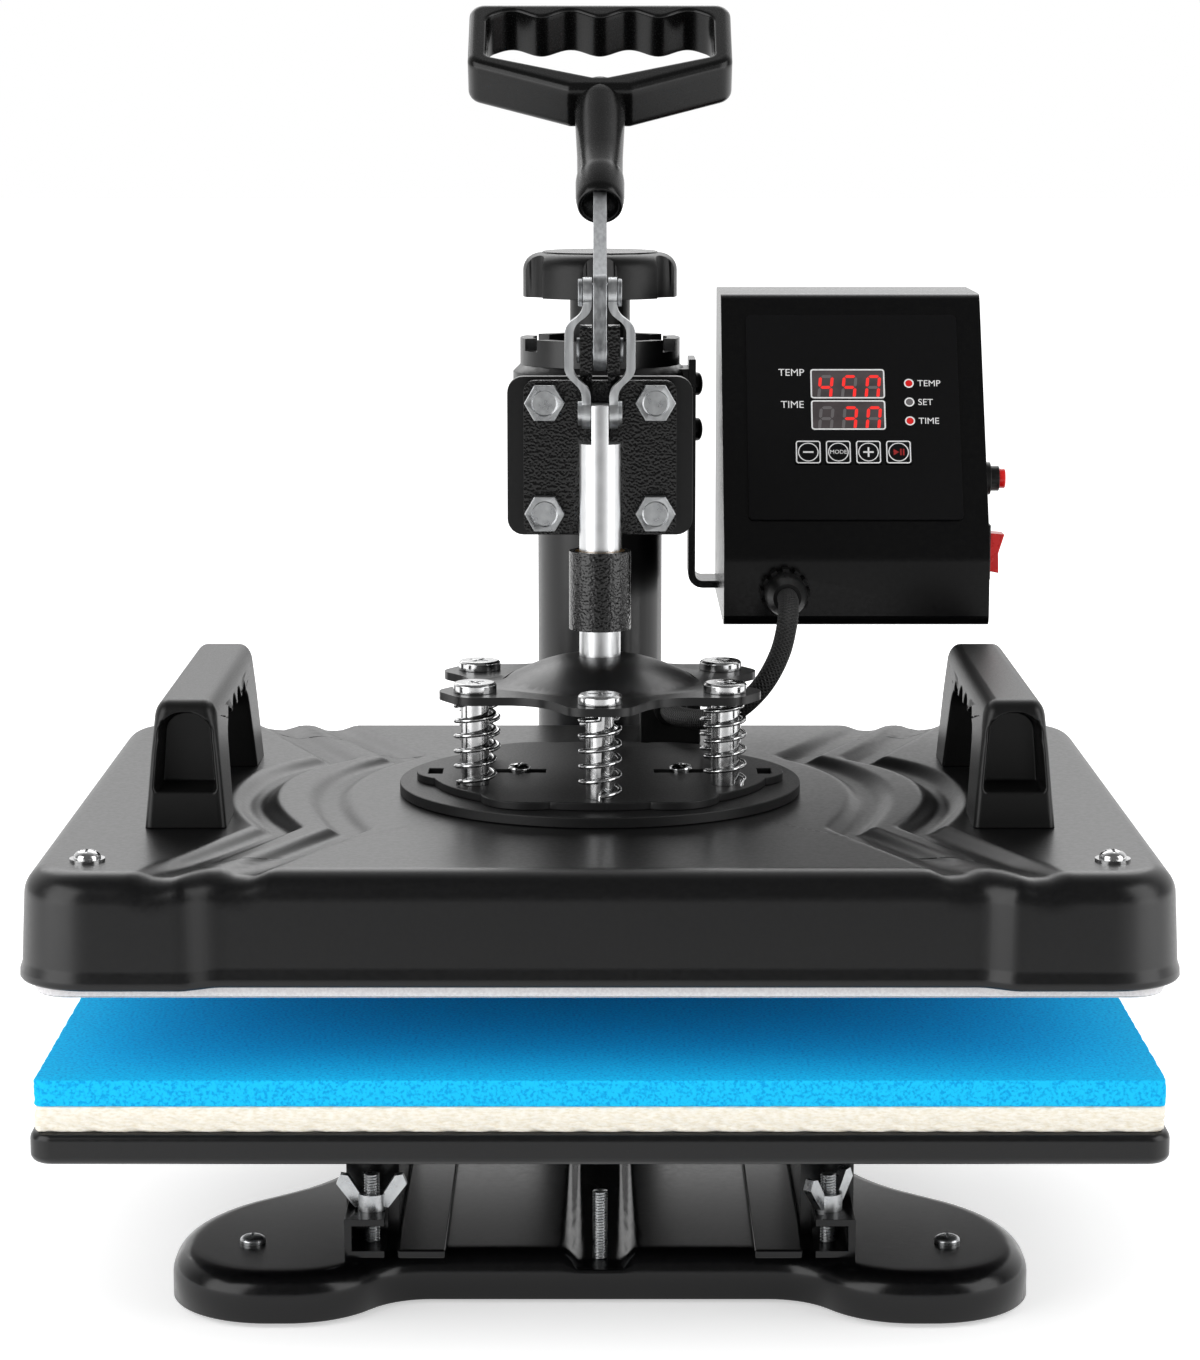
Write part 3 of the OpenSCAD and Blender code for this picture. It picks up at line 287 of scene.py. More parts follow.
def towards(outline, hub, z, count, inward=True):
    """Rings of a flat face, shrinking from the outline to its hub, or growing out of it."""
    share = np.linspace(0, 1, count + 1)[1:]
    rings = np.stack([ring(outline + (np.asarray(hub) - outline) * s, z) for s in share])
    return rings if inward else rings[::-1]


def distance_to(points, line):
    """Distance in plan from points to the nearest stretch of a line."""
    start, end = line[:-1], line[1:]
    run = end - start
    share = ((points[:, None, :] - start) * run).sum(axis=-1) / (run * run).sum(axis=-1)
    nearest = start + np.clip(share, 0, 1)[..., None] * run
    return np.linalg.norm(points[:, None, :] - nearest, axis=-1).min(axis=1)


def smooth_line(points, per_step):
    """A smooth curve through points: cubic between neighbours, tangents along the chord of the two beside."""
    p = np.asarray(points, float)
    p = np.vstack([2 * p[0] - p[1], p, 2 * p[-1] - p[-2]])
    t = np.linspace(0, 1, per_step, endpoint=False)[:, None]
    a, b, c, d = p[:-3], p[1:-2], p[2:-1], p[3:]
    curve = [0.5 * (2 * b[i] + (c[i] - a[i]) * t + (2 * a[i] - 5 * b[i] + 4 * c[i] - d[i]) * t ** 2
                    + (3 * b[i] - a[i] - 3 * c[i] + d[i]) * t ** 3) for i in range(len(b))]
    return np.vstack(curve + [p[-2:-1]])


def step(low, high, value):
    """Rises smoothly from 0 at low to 1 at high."""
    t = np.clip((value - low) / (high - low), 0, 1)
    return t * t * (3 - 2 * t)


def sweep(path, radius, sides):
    """Rings of a round section carried along a path without twist; radius may change along it."""
    tangent = unit(np.gradient(path, axis=0))
    across = np.zeros_like(path)
    lead = np.array([1.0, 0.0, 0.0]) if abs(tangent[0][0]) < 0.9 else np.array([0.0, 1.0, 0.0])
    for i, t in enumerate(tangent):
        lead = unit(lead - t * (lead @ t))
        across[i] = lead
    other = np.cross(tangent, across)
    a = np.linspace(0, 2 * np.pi, sides, endpoint=False)
    size = np.broadcast_to(np.asarray(radius, float), (len(path),))[:, None, None]
    spokes = np.cos(a)[:, None] * across[:, None, :] + np.sin(a)[:, None] * other[:, None, :]
    return path[:, None, :] + size * spokes


# Materials

GRAIN_DETAIL = 4.0


def surface(name, dark, light, grain_mm, rough, bump_mm=0.0, spread=(0.35, 0.65), cells=False,
            stretch=(1, 1, 1), specular=0.5, metallic=0.0, sheen=0.0):
    """A material whose colour, roughness and height follow one grain, of real size, in object coordinates."""
    material = bpy.data.materials.new(name)
    material.use_nodes = True
    tree = material.node_tree
    shader = tree.nodes["Principled BSDF"]
    where = add(tree, "ShaderNodeTexCoord")
    mapping = add(tree, "ShaderNodeMapping", {"Vector": where.outputs["Object"], "Scale": stretch})
    spacing = {"Vector": mapping.outputs["Vector"], "Scale": 1 / (grain_mm * MM)}
    if cells:
        value = add(tree, "ShaderNodeTexVoronoi", spacing, feature="SMOOTH_F1").outputs["Distance"]
    else:
        value = add(tree, "ShaderNodeTexNoise", {**spacing, "Detail": GRAIN_DETAIL}).outputs["Fac"]
    ramp = add(tree, "ShaderNodeValToRGB", {"Fac": value})
    for element, position, colour in zip(ramp.color_ramp.elements, spread, (dark, light)):
        element.position = position
        element.color = linear(colour)
    tree.links.new(ramp.outputs["Color"], shader.inputs["Base Color"])
    grade = add(tree, "ShaderNodeMapRange", {"Value": value, "From Min": spread[0], "From Max": spread[1],
                                             "To Min": rough[0], "To Max": rough[1]})
    tree.links.new(grade.outputs["Result"], shader.inputs["Roughness"])
    if bump_mm:
        bump = add(tree, "ShaderNodeBump", {"Height": value, "Distance": bump_mm * MM})
        tree.links.new(bump.outputs["Normal"], shader.inputs["Normal"])
    shader.inputs["Specular IOR Level"].default_value = specular
    shader.inputs["Metallic"].default_value = metallic
    shader.inputs["Sheen Weight"].default_value = sheen
    return material


# Powder-coated sheet steel: satin black, a faint orange peel that softens reflections
powder_coat = surface("powder_coated_steel", "#060607", "#0a0a0b", 1.6, (0.29, 0.34), 0.003, specular=0.45)
# Sand-textured coat on the plates round the springs: duller, so that it hardly mirrors what stands on it
plate_coat = surface("sand_textured_powder_coat", "#060607", "#0a0a0b", 0.7, (0.46, 0.54), 0.01,
                     specular=0.45)
# The same coat on the base, baked a little glossier
base_coat = surface("baked_black_enamel", "#060607", "#0a0a0b", 2.2, (0.2, 0.25), 0.003, specular=0.38)
# Stove enamel of the control box: deep black, smooth
box_enamel = surface("black_stove_enamel", "#040405", "#070707", 1.8, (0.2, 0.25), 0.003, specular=0.36)
# Hammertone paint on the casting: glossy black lumps about a millimetre across that glint one by one
hammertone = surface("hammertone_paint", "#050505", "#0b0b0b", 1.0, (0.16, 0.22), 0.26, (0.1, 0.7), True)
# Zinc-plated mild steel: bright, faintly blue-grey, clouded at a few millimetres
zinc = surface("zinc_plated_steel", "#b9bbbd", "#cdcfd0", 3.0, (0.26, 0.34), 0.003, metallic=1.0)
# Pressed zinc straps: the same plating with drawn scratches along Z
zinc_strap = surface("drawn_zinc_strap", "#c3c5c7", "#d6d8d9", 1.5, (0.32, 0.42), 0.004, stretch=(1, 1, 0.12),
                     metallic=1.0)
# Cropped steel of the lever bar and its pins: duller plating with coarse tear marks
sheared_steel = surface("sheared_zinc_steel", "#97999b", "#b4b6b8", 1.4, (0.36, 0.46), 0.01,
                        stretch=(1, 0.5, 0.5), metallic=1.0)
# Ground steel of the ram: bright, with a soft sheen that spreads round it, hardly any marks
ground_steel = surface("ground_steel_rod", "#d2d3d4", "#dcddde", 6.0, (0.3, 0.36), metallic=1.0)
# Nickel plate of spring wire and screw heads: bright, slightly clouded
nickel = surface("nickel_plate", "#c4c5c6", "#dcdcdc", 2.0, (0.12, 0.2), 0.002, metallic=1.0)
# Injection-moulded ABS of the lever handle and the knob's cap: satin black with a fine spark-eroded grain
moulded_abs = surface("moulded_black_abs", "#070707", "#0b0b0b", 0.45, (0.22, 0.28), 0.006, specular=0.35)
# The same plastic from a coarser mould, on the cover handles: its grain spreads what it mirrors
grained_abs = surface("grained_black_abs", "#080808", "#0d0d0d", 0.45, (0.34, 0.42), 0.008, specular=0.38)
# Glass-filled nylon of the knob and gland: a little duller
nylon = surface("glass_filled_nylon", "#080808", "#0e0e0e", 0.6, (0.36, 0.46), 0.015, specular=0.35)
# Natural nylon of the bush in the collar: milky, waxy
natural_nylon = surface("natural_nylon", "#cfc6ae", "#ddd6c2", 4.0, (0.4, 0.5))
# Printed polyester overlay of the panel: flat black with a velvet texture
overlay_film = surface("printed_polyester_overlay", "#0b0b0c", "#0f0f10", 0.5, (0.36, 0.44), 0.004,
                       specular=0.18)
# Smoked acrylic over the digits: grey-brown, glassy
smoked_acrylic = surface("smoked_acrylic", "#474243", "#544e4f", 9.0, (0.12, 0.16), specular=0.3)
# Red polycarbonate of the rocker, the button and the lamps: clear bright red, glossy
red_plastic = surface("red_polycarbonate", "#d01313", "#e01c1a", 5.0, (0.22, 0.3))
# Vulcanised rubber feet: matt, dusty
rubber = surface("black_rubber", "#0c0c0c", "#171717", 1.5, (0.7, 0.85), 0.03)
# Silicone foam: a saturated blue with open pores about a millimetre wide that show as darker specks
foam = surface("blue_silicone_foam", "#0aa4ea", "#1ecaff", 1.1, (0.75, 0.9), 0.12, (0.36, 0.54),
               specular=0.12)
# Pressed wool felt: cream, tangled fibres drawn out along the sheet
felt = surface("cream_wool_felt", "#f0e6cf", "#fffaee", 0.8, (0.9, 1.0), 0.25, (0.3, 0.6),
               stretch=(0.35, 0.35, 1), sheen=0.3)
# Ceramic-fibre blanket over the plate, hidden under the cover: off-white, woolly
blanket = surface("ceramic_fibre_blanket", "#d9d0b8", "#efe8d6", 2.0, (0.9, 1.0), 0.3)
# Cast aluminium of the heating plate: dull silver with a fine grain
cast_aluminium = surface("cast_aluminium", "#a5a5a3", "#c0c0be", 1.8, (0.35, 0.5), 0.02, metallic=1.0)
# White glass cloth coated with slippery resin: smooth with a faint weave
release_cloth = surface("coated_glass_cloth", "#e9e6e8", "#f7f5f6", 0.9, (0.4, 0.5), 0.02)
# Bearing bronze of the ram's bush: warm, turned smooth
bronze = surface("bearing_bronze", "#8a6a34", "#a98446", 1.5, (0.3, 0.42), metallic=1.0)
# Solder mask of the circuit board: translucent green over copper
solder_mask = surface("green_solder_mask", "#0d4425", "#135a32", 3.0, (0.3, 0.4))
# White screen print on the overlay: chalky
white_ink = surface("white_screen_ink", "#dcdcdc", "#efefef", 0.4, (0.5, 0.6))

# Cable sleeve of braided polyester: two families of strands cross over each other along the sleeve
braid = bpy.data.materials.new("braided_polyester_sleeve")
braid.use_nodes = True
tree = braid.node_tree
sleeve = add(tree, "ShaderNodeUVMap", uv_map="sleeve")
split = add(tree, "ShaderNodeSeparateXYZ", {"Vector": sleeve.outputs["UV"]})
# Spacing of the strands along the sleeve, and how many stand round it: coarser than life so that they show
STRAND_PITCH = 1.6
STRANDS_ROUND = 12
STRAND_RELIEF = 0.25
lengthwise = combine(tree, "MULTIPLY", split.outputs["Y"], 2 * math.pi / (STRAND_PITCH * MM))
around = combine(tree, "MULTIPLY", split.outputs["X"], 2 * math.pi * STRANDS_ROUND)
waves = []
for operation in ("ADD", "SUBTRACT"):
    phase = combine(tree, operation, lengthwise, around)
    waves.append(add(tree, "ShaderNodeMath", {0: phase}, operation="SINE").outputs[0])
crossing = combine(tree, "MAXIMUM", waves[0], waves[1])
strand = add(tree, "ShaderNodeValToRGB", {"Fac": crossing})
strand.color_ramp.elements[0].color = linear("#080808")
strand.color_ramp.elements[1].color = linear("#262626")
relief = add(tree, "ShaderNodeBump", {"Height": crossing, "Distance": STRAND_RELIEF * MM})
shader = tree.nodes["Principled BSDF"]
shader.inputs["Roughness"].default_value = 0.55
tree.links.new(strand.outputs["Color"], shader.inputs["Base Color"])
tree.links.new(relief.outputs["Normal"], shader.inputs["Normal"])


def glowing(name, colour, strength):
    """A lit or unlit segment: its own colour on the shader and a steady glow of that colour, which is the
    segment's own light when lit and a faint painted glow when unlit.
    """
    material = surface(name, colour, colour, 3.0, (0.3, 0.36))
    shader = material.node_tree.nodes["Principled BSDF"]
    shader.inputs["Emission Color"].default_value = linear(colour)
    shader.inputs["Emission Strength"].default_value = strength
    return material


# Segments behind the window: lit ones that give off their own light, and unlit ones with a faint painted glow
lit_segment = glowing("lit_red_segment", "#e02a26", 0.55)
unlit_segment_painted_glow = glowing("unlit_segment_painted_glow", "#676465", 0.05)
# Dark red print of the start symbol
red_ink = surface("red_screen_ink", "#8e1414", "#a81a18", 0.4, (0.5, 0.6))


# Cable, from its gland under the control box round behind the head to the inlet on the cover

GLAND_Z = 230.1
CABLE_Z = 183.0
CABLE_R = 4.0
# Places along the cable: x, y, and the height as a share of the way from the cover up to the gland
cable_points = np.array([
    [73, 74, 1], [73, 64, 0.98], [72, 53, 0.86], [69, 45, 0.64], [63, 41, 0.41], [55, 42, 0.22],
    [47, 48, 0.1], [40, 58, 0.04], [34, 69, 0.01], [30, 78, 0], [28, 86, 0], [28, 93, 0]])
cable_points[:, 2] = CABLE_Z + cable_points[:, 2] * (GLAND_Z - CABLE_Z)
cable_path = press(smooth_line(cable_points, 10))
cable_steps = np.linalg.norm(np.diff(cable_path, axis=0), axis=1)
cable_rings = sweep(cable_path, CABLE_R * MM, 24)
cable_lengths = np.concatenate([[0], np.cumsum(cable_steps)])
cable_mesh = grid_mesh("heater_cable_sleeve", [cable_rings], along=cable_lengths)
cable = place(cable_mesh, braid, None, "heater_cable")
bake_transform(cable)


# Base: a pressed shell with four soft lobes and a groove along its deck

COLUMN = 190.0
# Corners of the right half, front to back: x, y and radius
base_half = [(72, -92, 25), (92, -118, 35), (152, -118, 36), (152, -44, 70), (92, 10, 80),
             (92, COLUMN - 60, 60), (130, COLUMN - 25, 40), (130, COLUMN + 55, 45)]
base_corners = base_half + [(-x, y, r) for x, y, r in reversed(base_half)]
base_outline = rounded_outline(base_corners, 520)
BASE_HUB = (0.0, COLUMN - 130)
BASE_H = 19.0
BASE_EDGE = 8.0
# Inset and height of the skirt's turned-in rim
BASE_RIM = ((2.5, 8.0), (2.5, 2.0), (0.4, 2.0), (0.0, 2.5))
GROOVE_HALF = 7.4
GROOVE_DEPTH = 4.6
GROOVE_END = 118
GROOVE_RAMP = 6
# Over the deck's rounded edge the groove runs out between these depths under the deck
GROOVE_FADE = (7, 0.5)


def base_mesh():
    """Rings up the skirt, over a rounded edge and in to the hub; the groove lowers the middle of the deck."""
    turn = np.linspace(0, np.pi / 2, 10)
    rings = [ring(inset(base_outline, d), z) for d, z in BASE_RIM]
    rings += [ring(inset(base_outline, BASE_EDGE * (1 - math.cos(a))), BASE_H - BASE_EDGE * (1 - math.sin(a)))
              for a in turn]
    deck = towards(inset(base_outline, BASE_EDGE), BASE_HUB, BASE_H, 60)
    grid = np.concatenate([np.stack(rings), deck])
    x, y, z = grid[..., 0], grid[..., 1], grid[..., 2]
    wall = 1 - step(GROOVE_HALF, GROOVE_HALF + GROOVE_DEPTH, np.abs(x))
    on_top = step(BASE_H - GROOVE_FADE[0], BASE_H - GROOVE_FADE[1], z)
    in_front = 1 - step(GROOVE_END, GROOVE_END + GROOVE_RAMP, y)
    grid[..., 2] = z - GROOVE_DEPTH * wall * on_top * in_front
    return grid_mesh("base_shell_pressing", [press(grid)])


place(base_mesh(), base_coat, "base", "base_shell")


# Platen cover: a deep pressing with proud corner lobes and two bent channels down each side

COVER_W = 196.0
COVER_D = 156.0
COVER_Z = 130.0
COVER_TOP = 168.5
COVER_EDGE = 10.0
CORNER_R = 26
LOBE_X = 138
LOBE_R = 9
LOBE_PROUD = 5.5
# Where the straight front and back end, and how far from the middle they lie
STRAIGHT_X = 128
STRAIGHT_D = COVER_D - LOBE_PROUD
front_corners = [
    (-COVER_W, -COVER_D, CORNER_R), (-LOBE_X, -COVER_D, LOBE_R), (-STRAIGHT_X, -STRAIGHT_D, LOBE_R),
    (STRAIGHT_X, -STRAIGHT_D, LOBE_R), (LOBE_X, -COVER_D, LOBE_R), (COVER_W, -COVER_D, CORNER_R)]
cover_corners = front_corners + [(-x, -y, r) for x, y, r in front_corners]
cover_outline = rounded_outline(cover_corners, 620)
# Middle lines of the two channels on the right half, from the front edge to the back edge
outer_bend = [(113, -69), (121, -45), (126, -22), (127, 0), (124, 26), (116, 48), (102, 68)]
inner_bend = [(88, -71), (94, -48), (98.5, -24), (100, 0), (97, 26), (89, 50), (77, 70)]
outer_channel = np.vstack([[156, -170], smooth_line(outer_bend, 6), [140, 160]])
inner_channel = np.vstack([[132, -170], smooth_line(inner_bend, 6), [118, 160]])
CHANNEL_DEPTH = 3.2
# Half the width of a channel's floor, and where its walls end
CHANNEL_FLOOR = 1.8
CHANNEL_WALL = 9.2
# Share of the depth that is left at the front and back edge, and the stretch over which it falls to that
EDGE_SHARE = 0.55
EDGE_STRETCH = (4, 34)
# Over the rounded edge the channels run out between these depths under the top
CHANNEL_FADE = (13, 1)
# Inset of the rolled lip from the outline, and height over the cover's foot
COVER_LIP = ((2.2, 12.0), (2.0, 0.6), (1.4, 0.0), (0.6, 0.0), (0.0, 0.8), (0.1, 3.0), (0.9, 5.5))
# Inset of the drafted skirt at its top
SKIRT_IN = 2.0


def channel_depth(x, y):
    """How deep the channels lie at a place: full depth on a flat floor, soft walls, shallower at the edge."""
    plan = np.column_stack([np.abs(x).ravel(), y.ravel()])
    depth = np.zeros(len(plan))
    for line in (outer_channel, inner_channel):
        wall = 1 - step(CHANNEL_FLOOR, CHANNEL_WALL, distance_to(plan, line))
        depth = np.maximum(depth, CHANNEL_DEPTH * wall)
    shallow = EDGE_SHARE + (1 - EDGE_SHARE) * step(*EDGE_STRETCH, COVER_D - np.abs(plan[:, 1]))
    return (depth * shallow).reshape(x.shape)


def cover_mesh():
    """Rings from inside the rim, up the drafted skirt, over the rounded edge and in to the middle of the top.

    The channels press the top straight down, run out over the rounded edge and end above the skirt.
    """
    turn = np.linspace(0, np.pi / 2, 12)
    lip = [(d, COVER_Z + z) for d, z in COVER_LIP]
    low_in, low_z = lip[-1]
    high_z = COVER_TOP - COVER_EDGE
    rise = np.linspace(0.06, 0.96, 16)
    skirt = [(low_in + (SKIRT_IN - low_in) * t, low_z + (high_z - low_z) * t) for t in rise]
    edge = [(SKIRT_IN + COVER_EDGE * (1 - math.cos(a)), high_z + COVER_EDGE * math.sin(a)) for a in turn]
    # Most rings lie in the outer part, where the channels are
    inwards = np.concatenate([np.linspace(0, 0.64, 105)[1:], np.linspace(0.64, 1, 7)[1:]])
    share_up = np.concatenate([np.zeros(len(lip + skirt)), np.sin(turn), np.ones(len(inwards))])
    rings = [ring(inset(cover_outline, d), z) for d, z in lip + skirt + edge]
    top = [ring(inset(cover_outline, SKIRT_IN + COVER_EDGE) * (1 - s), COVER_TOP) for s in inwards]
    grid = np.stack(rings + top)
    on_top = step(COVER_TOP - CHANNEL_FADE[0], COVER_TOP - CHANNEL_FADE[1], grid[..., 2])
    depth = channel_depth(grid[..., 0], grid[..., 1]) * on_top
    inward = inset(cover_outline, 1.0) - cover_outline
    up = share_up[:, None]
    grid[..., :2] += inward * (0.5 * depth * np.sqrt(1 - up ** 2))[..., None]
    grid[..., 2] -= depth * up
    return grid_mesh("platen_cover_pressing", [press(grid)])


place(cover_mesh(), powder_coat, "platen", "platen_cover")


# Pads: width and depth of foam and felt, and the radius of their corners
PAD_W = 380.0
PAD_D = 300.0
PAD_CORNER = 2.5


def slab(name, width, depth, low, high, corner, edge, wave):
    """A closed pad: rings over its bottom, up a rounded side that wanders by wave, and over its top."""
    w, d = width / 2, depth / 2
    outline = rounded_box(w, d, corner, 640)
    turn = np.linspace(0, np.pi / 2, 5)
    lower = [(edge * (1 - math.sin(a)), low + edge * (1 - math.cos(a))) for a in turn]
    upper = [(edge * (1 - math.cos(a)), high - edge * (1 - math.sin(a))) for a in turn]
    side = [(0.0, z) for z in np.linspace(low + edge, high - edge, 8)[1:-1]]
    bottom = towards(inset(outline, edge), (0, 0), low, 12, inward=False)
    rings = [ring(inset(outline, i), z) for i, z in lower + side + upper]
    top = towards(inset(outline, edge), (0, 0), high, 12)
    grid = np.concatenate([bottom, np.stack(rings), top])
    x, y, z = grid[..., 0], grid[..., 1], grid[..., 2]
    # Crossed waves about three centimetres long, and a shorter one half as high
    wander = wave * np.sin(0.21 * x + 0.9 * z) * np.sin(0.17 * y - 0.4 * z)
    wander += 0.5 * wave * np.sin(0.63 * x - 0.57 * y + z)
    reach = np.maximum(np.abs(x) / w, np.abs(y) / d)
    near_edge = step(0.93, 1.0, reach)
    grid[..., 0] = x * (1 - np.abs(wander) * near_edge / w)
    grid[..., 1] = y * (1 - np.abs(wander) * near_edge / d)
    return grid_mesh(name, [press(grid)])


for name, node, material, low, high, edge, wave in (
        ("foam_pad_sheet", "foam_pad", foam, 89.0, 98.0, 0.6, 0.25),
        ("felt_pad_sheet", "felt_pad", felt, 80.0, 89.0, 1.2, 0.7)):
    pad = slab(name, PAD_W, PAD_D, low, high, PAD_CORNER, edge, wave)
    place(pad, material, "base", node)
place(slab("insulation_layer", 368.0, 281.0, 137.5, 154.5, 10.0, 3.0, 0.5), blanket, "platen",
                "insulation_blanket")


# Release sheet: cloth drawn over the plate's face and up its sides

SHEET_HALF = (190.3, 145.8)
SHEET_Z = 125.2
SHEET_CORNER = 12
SHEET_BEND = 2.0
# Heights of the rings up the plate's side
SHEET_SIDE = (128.5, 130.5, 132.8)
SHEET_T = 0.25


def sheet_mesh():
    """Rings from the middle of the plate's face out over its rounded edge and up its side."""
    w, d = SHEET_HALF
    outline = rounded_box(w, d, SHEET_CORNER, 480)
    turn = np.linspace(0, np.pi / 2, 6)
    face = towards(inset(outline, SHEET_BEND), (0, 0), SHEET_Z, 40, inward=False)
    edge = [ring(inset(outline, SHEET_BEND * (1 - math.sin(a))), SHEET_Z + SHEET_BEND * (1 - math.cos(a)))
            for a in turn]
    side = [ring(outline, z) for z in SHEET_SIDE]
    return grid_mesh("release_sheet_cloth", [press(np.concatenate([face, np.stack(edge + side)]))])


sheet = place(sheet_mesh(), release_cloth, "platen", "release_sheet")
thick = sheet.modifiers.new("cloth_thickness", "SOLIDIFY")
thick.thickness = SHEET_T * MM
thick.offset = 0.0


# Springs: one round wire each, wound about its bolt

SEAT_Z = 175.5
SPRING_H = 31.0
SPRING_R = 7.1
SPRING_TURNS = 5
SPRING_CIRCLE = 52.5
WIRE_R = 0.8


def spring_grid(cx, cy, start):
    """A helix that rises steadily between two straight ends, swept with a round wire."""
    t = np.linspace(0, 1, SPRING_TURNS * 28 + 1)
    a = start + 2 * np.pi * SPRING_TURNS * t
    rise = SEAT_Z + 2 * WIRE_R + (SPRING_H - 4 * WIRE_R) * t
    coil = np.column_stack([cx + SPRING_R * np.cos(a), cy + SPRING_R * np.sin(a), rise])
    path = np.vstack([[coil[0][0], coil[0][1], SEAT_Z], coil, [coil[-1][0], coil[-1][1], SEAT_Z + SPRING_H]])
    return press(sweep(path, WIRE_R, 10))


bolt_angles = np.radians(np.arange(6) * 60 - 90)
spring_wires = [spring_grid(SPRING_CIRCLE * math.cos(a), SPRING_CIRCLE * math.sin(a), a) for a in bolt_angles]
springs = place(grid_mesh("press_spring_wire", spring_wires), nickel, "platen", "press_springs")
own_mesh(springs)


# Lever handle: a moulded loop on a turned stem, drawn along the open lever

LEVER_LEAN = math.radians(54.0)
LEVER_PIN_Z = 352.6
STEM_START = 51.0
FORK = 112.0
HANDLE_END = 169.0
GRIP_HALF = 51.5
GRIP_BAR = 9.6
FINGER_PITCH = 23.25
FINGER_RISE = 2.2
# Half the loop's thickness, and the rounding of its outer and inner edges
LOOP_HALF_T = 10.0
LOOP_ROUND = (3.4, 1.3)
# The stem from its mouth to its root inside the loop: radius and place along it
STEM_PROFILE = np.array([
    (0, 4), (6.8, 4), (6.8, 0.6), (7.2, 0), (8.0, 0), (8.5, 0.5), (9.1, 4), (9.2, 14), (8.9, 17),
    (8.6, 19), (8.7, 30), (9.4, 48), (9.9, 60), (9.9, 68), (8.4, 70.5), (4, 71.6), (0, 72)])


def along_lever(x, s, n):
    """Across the lever, along it from its pin and out of its face, in millimetres, to the row frame."""
    x, s, n = np.broadcast_arrays(x, s, n)
    return press(np.stack([x, s * math.sin(LEVER_LEAN) + n * math.cos(LEVER_LEAN),
                           LEVER_PIN_Z + s * math.cos(LEVER_LEAN) - n * math.sin(LEVER_LEAN)], axis=-1))


def handle_mesh():
    """A loop of rounded sections between two paired outlines, and rings of the stem's turned profile.

    The loop's inner edge rises between the fingers as a cosine of the place across.
    """
    runs = (6, 40, 36, 90, 36, 40)
    wide, hole = GRIP_HALF, GRIP_HALF - 7
    finger_edge = HANDLE_END - GRIP_BAR
    outer = matched_outline([(-12, FORK, 4), (12, FORK, 4), (wide, FORK + 17, 7), (wide, HANDLE_END, 6),
                             (-wide, HANDLE_END, 6), (-wide, FORK + 17, 7)], 8, runs)
    inner = matched_outline([(-3, FORK + 7.5, 2), (3, FORK + 7.5, 2), (hole, FORK + 21.5, 3),
                             (hole, finger_edge, 3), (-hole, finger_edge, 3), (-hole, FORK + 21.5, 3)],
                            8, runs)
    wave = FINGER_RISE * (1 - np.cos(2 * np.pi * inner[:, 0] / FINGER_PITCH))
    inner[:, 1] += wave * step(finger_edge - 4, finger_edge - 0.2, inner[:, 1])
    plane, height = bar_sections(outer, inner, LOOP_HALF_T, *LOOP_ROUND, (12, 6, 12))
    loop = along_lever(plane[..., 0], plane[..., 1], height)
    a = np.linspace(0, 2 * np.pi, 40, endpoint=False)
    radius, along = STEM_PROFILE[:, :1], STEM_PROFILE[:, 1:]
    stem = along_lever(radius * np.cos(a), STEM_START + along, radius * np.sin(a))
    return grid_mesh("lever_handle_moulding", [np.concatenate([loop, loop[:1]]), stem])


place(handle_mesh(), moulded_abs, "lever", "lever_handle")


# Cover handles: two drafted arches with a pocket in the end of each leg

GRIP_X = 146.0
GRIP_H = 45.0
# Half the width of a handle at its foot and at its top
GRIP_FOOT = 14.35
GRIP_TOP = 10.5
# Half the length of a handle outside and inside its arch, at the foot and at the top
ARCH_OUT = (74, 70)
ARCH_IN = (46, 38)
# Rounding of the outline under the feet, where it is cut off, and thickness of the top bar
FOOT_ROUND = 0.5
TOP_BAR = 13
ARC_STEPS = 24
# Four finger scallops: their spacing, radius and how far their centres lie below the top
SCALLOP_PITCH = 17
SCALLOP_R = 7
SCALLOP_DROP = 15
# A pocket: its lower and upper edge, half its width at the bottom, its draft, and the place of its floor
POCKET_LOW = 13
POCKET_HIGH = GRIP_H - 4.5
POCKET_HALF = 10.8
POCKET_DRAFT = 2.2
POCKET_FLOOR = 58


